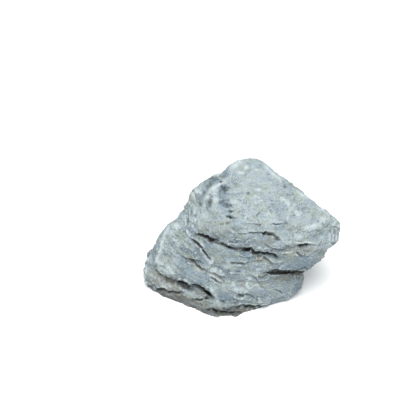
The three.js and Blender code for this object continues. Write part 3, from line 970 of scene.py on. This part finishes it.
    def raggedness(self, points: Array, size: float, seed: float = 20) -> Array:
        """How far in or out a dab's edge is bent, in its sizes, by bends of a size in millimetres."""
        places = (points / size + seed).tolist()
        return self.rag * np.array([noise.fractal(place, 0.7, 2.3, 3) for place in places])

    def dab(self, dab: Dab) -> None:
        """Works one dab in.

        Args:
            dab: the dab.
        """
        sheet, skin = Sheet(dab.side), self.skin
        spot = self.land(sheet, dab.at)
        if spot is None:
            return
        reach = self.dab_reach * max(dab.size) + self.dab_margin
        close = np.linalg.norm(skin.points - np.array(spot), axis=1) < reach
        near = np.flatnonzero(self.facing(sheet, self.dab_glance) & close)
        if not len(near):
            return
        turn = math.radians(dab.turn)
        flat = sheet.flatten(skin.points[near]) - np.array(dab.at)
        u = flat @ (math.cos(turn), math.sin(turn)) / dab.size[0]
        v = flat @ (-math.sin(turn), math.cos(turn)) / dab.size[1]
        bends = self.raggedness(skin.points[near], max(1.2, 0.8 * min(dab.size)))
        cover = 1 - smoothstep(np.hypot(u, v) + bends, *self.rim)
        self.shift[near] -= dab.depth * cover
        skin.paint(dab.tint, near, dab.stain * cover)

    def swell(self, swell: Swell) -> None:
        """Works one swell in.

        Args:
            swell: the swell.
        """
        spot = self.land(FRONT_SHEET, swell.at)
        if spot is not None:
            distance = np.linalg.norm(self.skin.points - np.array(spot), axis=1)
            self.shift += swell.rise * bell(distance, swell.radius)

    def finish(self) -> None:
        """Moves the skin by all that the marks ask for."""
        self.skin.push(self.shift, self.smooth_normals)


@dataclass(frozen=True)
class Hinterland:
    """The marks of the sides with no listed ones, scattered along the beds.

    Each range is the least and the most, in millimetres.

    Args:
        seed: starts the scatter.
        ledges: how many ledges on each side.
        cracks: how many cracks on each side.
        spots: how many stains and pale patches on each side.
        across: a mark's place to the right.
        upward: its place upward.
        stride: how far apart a ledge's points are.
        sway: how far they are off the level.
        lean: how far each point of a crack is to the side of the one above.
        jog: how far it is out of line.
        drop: how far each is below the other, times their count.
        spot: half the breadth of a spot.
        pit: how deep a pit is.
    """

    seed: int = 7
    ledges: int = 9
    cracks: int = 5
    spots: int = 26
    across: Range = (-66.0, 66.0)
    upward: Range = (-48.0, 46.0)
    stride: Range = (4, 8)
    sway: Range = (-1.6, 1.6)
    lean: Range = (-3, 3)
    jog: Range = (-1, 1)
    drop: Range = (3, 5)
    spot: Range = (1.0, 4.5)
    pit: Range = (0, 0.6)

    def marks(self) -> tuple[list[Stroke], list[Dab]]:
        """Scatters the marks.

        Returns:
            The strokes and the dabs.
        """
        rng = random.Random(self.seed)
        strokes, dabs = [], []
        for side in (Side.RIGHT, Side.BACK, Side.LEFT, Side.TOP_BACK):
            for _ in range(self.ledges):
                strokes.append(self.ledge(rng, side))
            for _ in range(self.cracks):
                strokes.append(self.crack(rng, side))
            for _ in range(self.spots):
                dabs.append(self.stain(rng, side))
        return strokes, dabs

    def place(self, rng: random.Random) -> Point:
        """Somewhere on a side's sheet."""
        return rng.uniform(*self.across), rng.uniform(*self.upward)

    def ledge(self, rng: random.Random, side: Side) -> Stroke:
        """A ledge along the beds.

        Args:
            rng: draws its place and sizes.
            side: its side.

        Returns:
            The ledge.
        """
        u, v = self.place(rng)
        stride = rng.uniform(*self.stride)
        route = tuple((u + i * stride, v + rng.uniform(*self.sway)) for i in range(rng.randint(4, 7)))
        tint = rng.choice((SLATE, SOIL_AND_SHADE))
        width, depth, stain = rng.uniform(1.1, 1.9), rng.uniform(1.0, 2.2), rng.uniform(0.5, 0.9)
        return Stroke(LEDGE, width, depth, route, tint, stain, 0.4, side)

    def crack(self, rng: random.Random, side: Side) -> Stroke:
        """A crack across the beds.

        Args:
            rng: draws its place and sizes.
            side: its side.

        Returns:
            The crack.
        """
        u, v = self.place(rng)
        lean = rng.uniform(*self.lean)
        route = tuple(
            (u + i * lean + rng.uniform(*self.jog), v - i * rng.uniform(*self.drop))
            for i in range(rng.randint(3, 5))
        )
        width, depth = rng.uniform(0.9, 1.4), rng.uniform(0.9, 1.8)
        return Stroke(CRACK, width, depth, route, SLATE, 0.8, side=side)

    def stain(self, rng: random.Random, side: Side) -> Dab:
        """A stain, a pit or a pale patch. Only small dark spots are pits.

        Args:
            rng: draws its place, tint and sizes.
            side: its side.

        Returns:
            The spot.
        """
        tint = rng.choice((SLATE, SLATE, BLUE, SOIL_AND_SHADE, TAN, CHALK_AND_HIGHLIGHT, CHALK_AND_HIGHLIGHT))
        size = rng.uniform(*self.spot)
        depth = rng.uniform(*self.pit) if tint in (SLATE, SOIL_AND_SHADE) and size < 3 else 0.0
        at, length = self.place(rng), size * rng.uniform(1, 1.8)
        stain, turn = rng.uniform(0.4, 0.9), rng.uniform(-25, 25)
        return Dab(at, (length, size), tint, stain, depth, turn, side)


@dataclass(frozen=True)
class Lumps:
    """A pattern of lumps in the finish.

    Args:
        size: how large a lump is, in millimetres, for each direction.
        detail: how many finer layers are added.
        roughness: how strong those layers are.
    """

    size: Size
    detail: float
    roughness: float = 0.6


@dataclass(frozen=True)
class Fade:
    """A soft ramp: it gives start where a value is at low, and end where it is at high."""

    low: float
    high: float
    start: float = 0.0
    end: float = 1.0


class Graph:
    """A material's node graph, built from its inputs to its surface."""

    def __init__(self, name: str) -> None:
        """Starts a material with its shader.

        Args:
            name: the material's name.
        """
        self.material = bpy.data.materials.new(name)
        self.material.use_nodes = True
        self.tree = self.material.node_tree
        self.shader = self.tree.nodes["Principled BSDF"]

    def node(self, kind: str, inputs: dict[str | int, object], **settings: object) -> bpy.types.Node:
        """Adds a node.

        Args:
            kind: its type, without the leading ShaderNode.
            inputs: for each of its inputs, a socket to link or a value.
            settings: its other properties.

        Returns:
            The node.
        """
        made = self.tree.nodes.new("ShaderNode" + kind)
        for key, value in settings.items():
            setattr(made, key, value)
        for key, value in inputs.items():
            if isinstance(value, Socket):
                self.tree.links.new(value, made.inputs[key])
            else:
                made.inputs[key].default_value = value
        return made

    def attribute(self, name: str, output: str = "Fac") -> Socket:
        """A named value of the mesh's points."""
        return self.node("Attribute", {}, attribute_name=name).outputs[output]

    def reckon(self, a: Socket | float, b: Socket | float, kind: str = "ADD") -> Socket:
        """Two numbers put together."""
        return self.node("Math", {0: a, 1: b}, operation=kind).outputs[0]

    def swing(self, value: Socket) -> Socket:
        """How far a pattern is from its middle, 0.5."""
        return self.reckon(value, 0.5, "SUBTRACT")

    def scale(self, a: Socket, b: Socket | float) -> Socket:
        """One number times another."""
        return self.reckon(a, b, "MULTIPLY")

    def ramp(self, value: Socket, fade: Fade) -> Socket:
        """A soft ramp over a value."""
        limits = {0: value, 1: fade.low, 2: fade.high, 3: fade.start, 4: fade.end}
        return self.node("MapRange", limits, interpolation_type="SMOOTHSTEP").outputs[0]

    def noise(self, place: Socket, lumps: Lumps) -> Socket:
        """A pattern of lumps around 0.5.

        Args:
            place: where on the stone, in millimetres.
            lumps: the pattern.

        Returns:
            Its value.
        """
        stretch = tuple(1 / each for each in lumps.size)
        stretched = self.node("VectorMath", {0: place, 1: stretch}, operation="MULTIPLY").outputs[0]
        inputs = {"Vector": stretched, "Scale": 1.0, "Detail": lumps.detail, "Roughness": lumps.roughness}
        return self.node("TexNoise", inputs).outputs[0]

    def mix(self, factor: Socket, a: Socket | Colour, b: Socket | Colour) -> Socket:
        """Colour a with some of colour b."""
        colours = {6: a if isinstance(a, Socket) else (*a, 1.0), 7: b if isinstance(b, Socket) else (*b, 1.0)}
        return self.node("Mix", {0: factor, **colours}, data_type="RGBA").outputs[2]


@dataclass(frozen=True)
class Limestone:
    """The finish: dry blue-grey limestone with pale bloom, dark stains, calcite and a little earth, and
    painted light and shade: paler upward faces and top, dark hollows, crevices and crack grooves, and pale
    highlights along some rims.

    The colours come first, then the patterns, then the fades between colours, each named for what it lays.
    """

    slate: Colour = (0.093, 0.130, 0.150)
    body: Colour = (0.182, 0.221, 0.232)
    # the pale bloom, which also serves as painted light on upward faces and the top
    bloom_and_painted_light: Colour = (0.300, 0.357, 0.369)
    # pale calcite, also a painted highlight along some rims
    calcite_and_highlight: Colour = (0.500, 0.560, 0.570)
    moss: Colour = (0.250, 0.285, 0.235)
    lilac: Colour = (0.200, 0.262, 0.318)
    # dark stain, also painted shade in hollows, in crack grooves and below ledges
    stain: Colour = (0.038, 0.054, 0.066)
    # soil, also painted shade below ledges and in sheltered crevices
    soil_and_shade: Colour = (0.086, 0.080, 0.062)
    tan: Colour = (0.185, 0.166, 0.138)
    blue: Colour = (0.148, 0.200, 0.240)
    # near black: painted shade in crack grooves, below ledges and in deep crevices
    deep: Colour = (0.012, 0.014, 0.014)

    clouds: Lumps = Lumps((16, 16, 9), 3)
    quiet: Lumps = Lumps((24, 24, 14), 1)
    blotches: Lumps = Lumps((5, 5, 2.8), 4)
    streaks: Lumps = Lumps((7, 7, 1.3), 3)
    grains: Lumps = Lumps((1.5, 1.5, 1.2), 3, 0.75)
    hues: Lumps = Lumps((9, 9, 5), 3)
    specks: Lumps = Lumps((1.0, 1.0, 0.9), 2, 0.8)
    veins: Lumps = Lumps((13, 13, 8), 4, 0.55)
    dust: Lumps = Lumps((0.55, 0.55, 0.45), 2, 0.7)

    cloud_share: float = 2.2
    blotch_share: float = 2.2
    streak_share: float = 1.2
    grain_share: float = 3.1

    quiet_fade: Fade = Fade(0.38, 0.6, 0.45, 1.25)
    body_fade: Fade = Fade(-0.4, 0.3)
    # lays the pale bloom and its painted light
    bloom_and_light_fade: Fade = Fade(0.1, 0.9)
    wash_fade: Fade = Fade(-0.4, 0.9, 1.0, 0.5)
    moss_fade: Fade = Fade(0.49, 0.68, 0.0, 0.7)
    lilac_fade: Fade = Fade(0.5, 0.32, 0.0, 0.55)
    worn_fade: Fade = Fade(0.15, 0.8, 0.0, 0.6)
    # painted shade in hollows
    hollow_shade_fade: Fade = Fade(-0.2, -1.0, 0.0, 0.4)
    speck_fade: Fade = Fade(0.55, 0.68, 0.0, 0.72)
    vein_fade: Fade = Fade(0.008, 0.0, 0.0, 0.5)
    vein_break: Fade = Fade(0.45, 0.6)
    chalk_and_highlight_break: Fade = Fade(0.3, 0.6, 0.45, 1.0)
    stain_break: Fade = Fade(0.3, 0.65, 0.95, 0.7)
    # painted shade: near black where the slate tint is full, then soil colour and near black by how sheltered
    # a place is
    crack_shade_fade: Fade = Fade(0.8, 1.0, 0.0, 0.85)
    sheltered_soil_and_shade_fade: Fade = Fade(0.25, 0.9, 0.0, 0.6)
    sheltered_shade_fade: Fade = Fade(0.6, 1.0, 0.0, 0.9)

    roughness: float = 0.88
    gloss: float = 0.3
    bump: float = 0.9
    bump_height: float = 0.4

    def make(self) -> bpy.types.Material:
        """Builds the material.

        Returns:
            The material.
        """
        g = Graph("limestone")
        place = g.attribute("place", "Vector")
        bloom_and_painted_light, hollow, shelter = (g.attribute(name) for name in ("bloom_and_painted_light", "hollow", "shelter"))
        clouds = g.noise(place, self.clouds)
        calm = g.ramp(g.noise(place, self.quiet), self.quiet_fade)
        blotch, streak, grain = (g.noise(place, each) for each in (self.blotches, self.streaks, self.grains))
        # besides its random lumps, the tone carries the painted light of upward faces and the top and the
        # painted shade of sheltered places
        tone = g.reckon(g.scale(g.swing(clouds), self.cloud_share), bloom_and_painted_light)
        for layer, share in (
            (blotch, self.blotch_share), (streak, self.streak_share), (grain, self.grain_share),
        ):
            tone = g.reckon(tone, g.scale(g.scale(g.swing(layer), share), calm))
        colour = g.mix(g.ramp(tone, self.body_fade), self.slate, self.body)
        colour = g.mix(g.ramp(tone, self.bloom_and_light_fade), colour, self.bloom_and_painted_light)
        for name, tint in (("blue", self.blue), ("tan", self.tan)):
            laid = g.scale(g.attribute(name), g.ramp(tone, self.wash_fade))
            colour = g.mix(laid, colour, tint)
        hue = g.noise(place, self.hues)
        colour = g.mix(g.ramp(hue, self.moss_fade), colour, self.moss)
        colour = g.mix(g.ramp(hue, self.lilac_fade), colour, self.lilac)
        worn = g.ramp(g.reckon(hollow, g.swing(grain), "SUBTRACT"), self.worn_fade)
        colour = g.mix(worn, colour, self.calcite_and_highlight)
        # painted shade: concave hollows go dark
        colour = g.mix(g.ramp(hollow, self.hollow_shade_fade), colour, self.stain)
        colour = g.mix(g.ramp(g.noise(place, self.specks), self.speck_fade), colour, self.calcite_and_highlight)
        vein = g.noise(place, self.veins)
        line = g.ramp(g.reckon(g.swing(vein), 0.0, "ABSOLUTE"), self.vein_fade)
        colour = g.mix(g.scale(line, g.ramp(blotch, self.vein_break)), colour, self.calcite_and_highlight)
        # the chalk tint: calcite, and a painted highlight along some rims
        chalk_and_highlight = g.attribute("chalk_and_highlight")
        colour = g.mix(g.scale(chalk_and_highlight, g.ramp(grain, self.chalk_and_highlight_break)), colour, self.calcite_and_highlight)
        # soil and slate: stains, and painted shade in crack grooves and below ledges
        for name, tint in (("soil_and_shade", self.soil_and_shade), ("slate", self.stain)):
            laid = g.scale(g.attribute(name), g.ramp(blotch, self.stain_break))
            colour = g.mix(laid, colour, tint)
        # painted shade: crack grooves and the undersides of ledges go near black
        colour = g.mix(g.ramp(g.attribute("slate"), self.crack_shade_fade), colour, self.deep)
        # painted shade in sheltered crevices: soil colour, then near black
        colour = g.mix(g.ramp(shelter, self.sheltered_soil_and_shade_fade), colour, self.soil_and_shade)
        colour = g.mix(g.ramp(shelter, self.sheltered_shade_fade), colour, self.deep)
        g.tree.links.new(colour, g.shader.inputs["Base Color"])
        g.shader.inputs["Roughness"].default_value = self.roughness
        g.shader.inputs["Specular IOR Level"].default_value = self.gloss
        fine = g.reckon(grain, g.noise(place, self.dust))
        bump = g.node("Bump", {"Height": fine, "Strength": self.bump, "Distance": self.bump_height * MM})
        g.tree.links.new(bump.outputs[0], g.shader.inputs["Normal"])
        return g.material


@dataclass(frozen=True)
class Weather:
    """What the weather has done to the skin, from broad to fine.

    Args:
        heave: broad lumps.
        flakes: large chips.
        crumbs: small chips.
        pits: small lumps on the same ground as the crumbs.
        ribs: the beds' edges.
        thin_ribs: finer ribs between them.
        grain: the coarse grain.
        fine_grain: the fine grain.
        broken: where the stone is crumbled, and how much more it is there.
        sound: how much it crumbles elsewhere.
        ribbed: where the ribs show, and how much, on steep faces.
        rib_low: how much they show near the ground.
        rib_all: how much they show elsewhere.
        level: how much a normal points upward, from where a face counts as steep to where it is level.
        low: from where a height counts as near the ground to where it doesn't, in millimetres.
    """

    heave: Relief = Relief(0.7, (15, 15, 15), 3.3, 3)
    flakes: Relief = Relief(1.2, (13, 13, 8), 5.1, level=0.4)
    crumbs: Relief = Relief(0.7, (5.5, 5.5, 3.5), 9.4, level=0.5)
    pits: Relief = Relief(0.35, (4.5, 4.5, 3), 7.7, 2)
    ribs: Relief = Relief(0.6, (13, 13, 2.4), 1.7, 2)
    thin_ribs: Relief = Relief(0.5, (9, 9, 1.3), 8.2)
    grain: Relief = Relief(0.18, (2.6, 2.6, 2.0), 6.6, 2)
    fine_grain: Relief = Relief(0.13, (1.7, 1.7, 1.4), 2.9)
    broken: Relief = Relief(0.9, (20, 20, 20), 2.6)
    sound: float = 0.4
    ribbed: Relief = Relief(0.35, (22, 22, 22), 4.4)
    rib_low: float = 0.4
    rib_all: float = 0.15
    level: Range = (0.45, 0.95)
    low: Range = (12, 30)

    def chip(self, skin: Skin, free: Array) -> None:
        """Chips the skin and brings out its beds.

        Args:
            skin: the skin.
            free: how freely each point weathers.
        """
        steep = 1 - smoothstep(np.abs(skin.normals[:, 2]), *self.level)
        low = 1 - smoothstep(skin.points[:, 2], *self.low)
        skin.push(self.heave.height * free * skin.bumps(self.heave))
        skin.push(self.height(self.flakes, steep) * free * skin.chips(self.flakes))
        crumbled = self.broken.height * smoothstep(skin.bumps(self.broken), -0.3, 0.3)
        broken = free * (self.sound + crumbled)
        skin.push(self.height(self.crumbs, steep) * broken * skin.chips(self.crumbs))
        skin.push(self.pits.height * broken * skin.bumps(self.pits))
        ribs = skin.bumps(self.ribs) + self.thin_ribs.height * skin.bumps(self.thin_ribs)
        patchy = smoothstep(skin.bumps(self.ribbed), -0.1, 0.4)
        share = self.rib_all + self.ribbed.height * steep * patchy + self.rib_low * low
        skin.push(share * self.ribs.height * free * ribs)
        skin.wear(1, 0.4)

    @staticmethod
    def height(relief: Relief, steep: Array) -> Array:
        """How high a relief is at each point, from how steep its face is."""
        return (relief.level + (1 - relief.level) * steep) * relief.height

    def roughen(self, skin: Skin) -> None:
        """Adds the fine grain."""
        skin.push(sum(each.height * skin.bumps(each) for each in (self.grain, self.fine_grain)))


@dataclass
class Stone:
    """The stone itself, from its CAD node to its finished piece.

    Args:
        node: the CAD node it stands for.
        grid: how fine the skin is, in millimetres.
        finish: what it is dressed in.
        weather: how it has weathered.
        sole: how high above the ground the foot reaches, in millimetres.
        upward_bloom_and_light: how much paler the faces that look up are: a pale bloom, and painted light.
        high_bloom_and_light: how much paler the top is: a pale bloom, and painted light.
        sheltered_painted_shade: how much darker a sheltered place is, as painted shade.
        bloom_and_light_base: how pale everything else is.
    """

    node: str = "stone"
    grid: float = 0.85
    finish: Limestone = Limestone()
    weather: Weather = Weather()
    sole: float = 0.6
    upward_bloom_and_light: float = 0.55
    high_bloom_and_light: float = 0.2
    sheltered_painted_shade: float = 0.7
    bloom_and_light_base: float = -0.1
    piece: bpy.types.Object = field(init=False)

    def even_skin(self) -> None:
        """Makes the piece: the node's shape as one closed mesh of even faces."""
        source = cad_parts[self.node].data.copy()
        merged = bmesh.new()
        merged.from_mesh(source)
        bmesh.ops.remove_doubles(merged, verts=merged.verts, dist=1e-6)
        merged.to_mesh(source)
        merged.free()
        rough = bpy.data.objects.new("rough", source)
        bpy.context.collection.objects.link(rough)
        remesh = rough.modifiers.new("even skin", "REMESH")
        remesh.mode, remesh.voxel_size, remesh.adaptivity = "VOXEL", self.grid * MM, 0
        shaped = rough.evaluated_get(bpy.context.evaluated_depsgraph_get())
        mesh = bpy.data.meshes.new_from_object(shaped)
        mesh.name = "seiryu_stone"
        bpy.data.objects.remove(rough)
        self.piece = bpy.data.objects.new("seiryu_stone", mesh)
        bpy.context.collection.objects.link(self.piece)
        mesh.materials.clear()
        if "sharp_face" in mesh.attributes:
            mesh.attributes.remove(mesh.attributes["sharp_face"])
        mesh.polygons.foreach_set("use_smooth", np.ones(len(mesh.polygons), bool))
        log.info("skin of %d faces", len(mesh.polygons))

    def unwrap(self) -> None:
        """Gives the piece its UV map, while the skin is still smooth."""
        for old in list(self.piece.data.uv_layers):
            self.piece.data.uv_layers.remove(old)
        self.piece.data.uv_layers.new(name="OFBake")
        bpy.context.view_layer.objects.active = self.piece
        self.piece.select_set(True)
        bpy.ops.object.mode_set(mode="EDIT")
        bpy.ops.mesh.select_all(action="SELECT")
        bpy.ops.uv.smart_project(angle_limit=math.radians(70), island_margin=0.002)
        bpy.ops.object.mode_set(mode="OBJECT")

    def freedom(self, skin: Skin, smoothness: float = 0.75) -> Array:
        """How freely each point weathers: 1, and less in the smooth patches.

        Args:
            skin: the skin.
            smoothness: how much less in the middle of a patch.

        Returns:
            One number for each point.
        """
        tree, free = skin.tree(), np.ones(len(skin.points))
        for patch in PATCHES:
            spot = tree.ray_cast(FRONT_SHEET.eye, FRONT_SHEET.ray(patch.at))[0]
            distance = np.linalg.norm(skin.points - np.array(spot), axis=1)
            free *= 1 - smoothness * np.exp(-((distance / patch.radius) ** 4))
        return free

    def openness(self, skin: Skin, gap: float = 6.0) -> Array:
        """How far out of the crevices each point is.

        Args:
            skin: the skin.
            gap: how far off a facing wall still shuts a point in, in millimetres.

        Returns:
            One number for each point: 0 between near walls, and 1 in the open.
        """
        tree, rays = skin.tree(), zip(skin.lifted().tolist(), skin.normals.tolist())
        hits = (tree.ray_cast(start, aim, gap)[0] for start, aim in rays)
        return skin.even(np.array([float(hit is None) for hit in hits]), 6) ** 2

    def seat(self, skin: Skin, foot: Array, calm: float = 0.8) -> None:
        """Keeps the foot flat on the ground and the skin's ends inside the node's box.

        Args:
            skin: the skin.
            foot: which of its points stand on the ground.
            calm: the share of each half of the box in which nothing moves.
        """
        low, high = (np.array(corner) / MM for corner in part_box(self.node))
        skin.points[foot, 2] = 0
        skin.points[:, 2] = np.maximum(skin.points[:, 2], 0)
        middle, half = (low + high) / 2, (high - low) / 2
        for sign in (-1, 1):
            out = sign * (skin.points - middle) / half
            log.info("furthest points at %s of the box", np.round(sign * out.max(0), 3))
            drawn_in = calm + (out - calm) * (1 - calm) / (out.max(0) - calm)
            skin.points = np.where(out > calm, middle + sign * half * drawn_in, skin.points)
        skin.refresh()

    def shelter(self, skin: Skin, rays: int = 14, reach: float = 16.0, seed: int = 4) -> Array:
        """How shut in each point is.

        Args:
            skin: the skin.
            rays: how many rays each point sends out.
            reach: how far they go, in millimetres.
            seed: turns the rays.

        Returns:
            One number for each point, from 0 in the open to 1 deep in a crevice.
        """
        tree = skin.tree()
        turns = np.random.default_rng(seed).uniform(0, 2 * math.pi, rays)
        heights = np.sqrt((np.arange(rays) + 0.5) / rays)
        flat = np.sqrt(1 - heights**2)
        bundle = np.column_stack((flat * np.cos(turns), flat * np.sin(turns), heights))
        helper = np.where(np.abs(skin.normals[:, 2:3]) < 0.9, (0, 0, 1), (1, 0, 0))
        side = np.cross(helper, skin.normals)
        side /= np.linalg.norm(side, axis=1)[:, None]
        third = np.cross(skin.normals, side)
        starts = skin.lifted().tolist()
        closed = np.zeros(len(starts))
        for x, y, z in bundle:
            aims = (x * side + y * third + z * skin.normals).tolist()
            hits = (tree.ray_cast(start, aim, reach)[3] for start, aim in zip(starts, aims))
            closed += np.array([0 if hit is None else 1 - hit / reach for hit in hits])
        return skin.even(closed / rays, 1)

    def record(self, skin: Skin) -> None:
        """Stores what the finish reads: place, bloom_and_painted_light, hollow, shelter and the tints.

        Args:
            skin: the skin.
        """
        shelter = self.shelter(skin)
        # a pale bloom with painted light: paler on faces that look up and towards the top; painted shade:
        # darker where sheltered
        upward = smoothstep(skin.even(skin.normals[:, 2], 6), 0.0, 0.85)
        high = smoothstep(skin.points[:, 2], 20, 75)
        bloom_and_painted_light = self.upward_bloom_and_light * upward + self.high_bloom_and_light * high - self.sheltered_painted_shade * shelter
        dips = ((skin.even(skin.points, 3) - skin.points) * skin.normals).sum(1)
        hollow = -np.clip(dips / (2.5 * dips.std()), -1, 1)
        # shelter darkens crevices in the finish: painted shade
        sheltered = np.clip(1.6 * shelter, 0, 1)
        values = {"bloom_and_painted_light": bloom_and_painted_light + self.bloom_and_light_base, "hollow": hollow, "shelter": sheltered}
        values.update({tint.value: skin.tints[tint] for tint in Tint})
        for name, column in values.items():
            layer = skin.mesh.attributes.new(name, "FLOAT", "POINT")
            layer.data.foreach_set("value", column.astype(np.float32))
        layer = skin.mesh.attributes.new("place", "FLOAT_VECTOR", "POINT")
        layer.data.foreach_set("vector", skin.bedded().astype(np.float32).ravel())

    def mark(self, skin: Skin) -> None:
        """Works all the marks in.

        Args:
            skin: the weathered skin.
        """
        chisel = Chisel(skin)
        strokes, dabs = Hinterland().marks()
        for stroke in (*STROKES, *strokes):
            chisel.cut(stroke)
        for dab in (*DABS, *dabs):
            chisel.dab(dab)
        for swell in SWELLS:
            chisel.swell(swell)
        chisel.finish()

    def build(self) -> bpy.types.Object:
        """Makes the finished piece and hangs it on the frame.

        Returns:
            The piece.
        """
        self.even_skin()
        self.unwrap()
        skin = Skin(self.piece.data)
        foot = (skin.points[:, 2] < self.sole) & (skin.normals[:, 2] < -0.6)
        skin.wear(24, 0.16)
        self.weather.chip(skin, self.freedom(skin) * self.openness(skin))
        self.mark(skin)
        self.weather.roughen(skin)
        self.seat(skin, foot)
        self.record(skin)
        self.piece.data.materials.append(self.finish.make())
        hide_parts(self.node)
        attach(self.piece, "root")
        return self.piece


@dataclass
class Studio:
    """A white floor, soft light from above and in front, and the camera.

    Args:
        span: half the floor's side, in metres.
        white: the floor's colour.
        matt: how matt the floor is.
        sky: how bright the sky is.
        sky_colour: its colour.
        key: the lamp's power, in watts.
        lamp_size: how broad the lamp is, in metres.
        lamp_place: where the lamp hangs, in metres.
        lens: the camera's focal length, in millimetres.
        near: how close the camera sees, in metres.
    """

    span: float = 4.0
    white: Colour = (0.95, 0.95, 0.95)
    matt: float = 0.9
    sky: float = 0.8
    sky_colour: Colour = (0.97, 0.99, 1.0)
    key: float = 118.0
    lamp_size: float = 2.6
    lamp_place: Size = (-0.1, -1.3, 3.1)
    lens: float = 100.0
    near: float = 0.01

    def floor(self) -> bpy.types.Object:
        """Makes the plain white floor.

        Returns:
            The floor.
        """
        made = bmesh.new()
        bmesh.ops.create_grid(made, x_segments=1, y_segments=1, size=self.span)
        mesh = bpy.data.meshes.new("floor")
        made.to_mesh(mesh)
        made.free()
        floor = bpy.data.objects.new("floor", mesh)
        bpy.context.collection.objects.link(floor)
        graph = Graph("floor")
        graph.shader.inputs["Base Color"].default_value = (*self.white, 1)
        graph.shader.inputs["Roughness"].default_value = self.matt
        mesh.materials.append(graph.material)
        return floor

    def lights(self) -> None:
        """Sets up an even sky, and one large lamp over the front edge."""
        world = bpy.data.worlds.new("sky")
        bpy.context.scene.world = world
        world.use_nodes = True
        background = world.node_tree.nodes["Background"]
        background.inputs["Color"].default_value = (*self.sky_colour, 1)
        background.inputs["Strength"].default_value = self.sky
        lamp = bpy.data.lights.new("lamp", "AREA")
        lamp.shape, lamp.size, lamp.energy = "DISK", self.lamp_size, self.key
        holder = bpy.data.objects.new("lamp", lamp)
        bpy.context.collection.objects.link(holder)
        place = Vector(self.lamp_place)
        turn = place.to_track_quat("Z", "Y").to_matrix().to_4x4()
        holder.matrix_world = Matrix.Translation(place) @ turn

    def camera(self) -> None:
        """Sets up the camera, which looks at the stone's best side from above."""
        data = bpy.data.cameras.new("camera")
        data.lens, data.clip_start = self.lens, self.near
        holder = bpy.data.objects.new("camera", data)
        bpy.context.collection.objects.link(holder)
        turn = Matrix((FRONT_SHEET.right, FRONT_SHEET.up, -FRONT_SHEET.forward)).transposed().to_4x4()
        holder.matrix_world = Matrix.Translation(FRONT_SHEET.eye * MM) @ turn
        bpy.context.scene.camera = holder

    def build(self) -> None:
        """Sets the studio up."""
        self.floor()
        self.lights()
        self.camera()
        bpy.context.scene.view_settings.view_transform = "Standard"


def main() -> None:
    """Builds the stone and its studio."""
    logging.basicConfig(level=logging.INFO, format="%(name)s: %(message)s")
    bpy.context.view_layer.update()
    piece = Stone().build()
    log.info("%s has %d points", piece.name, len(piece.data.vertices))
    Studio().build()


if __name__ == "__main__":
    main()
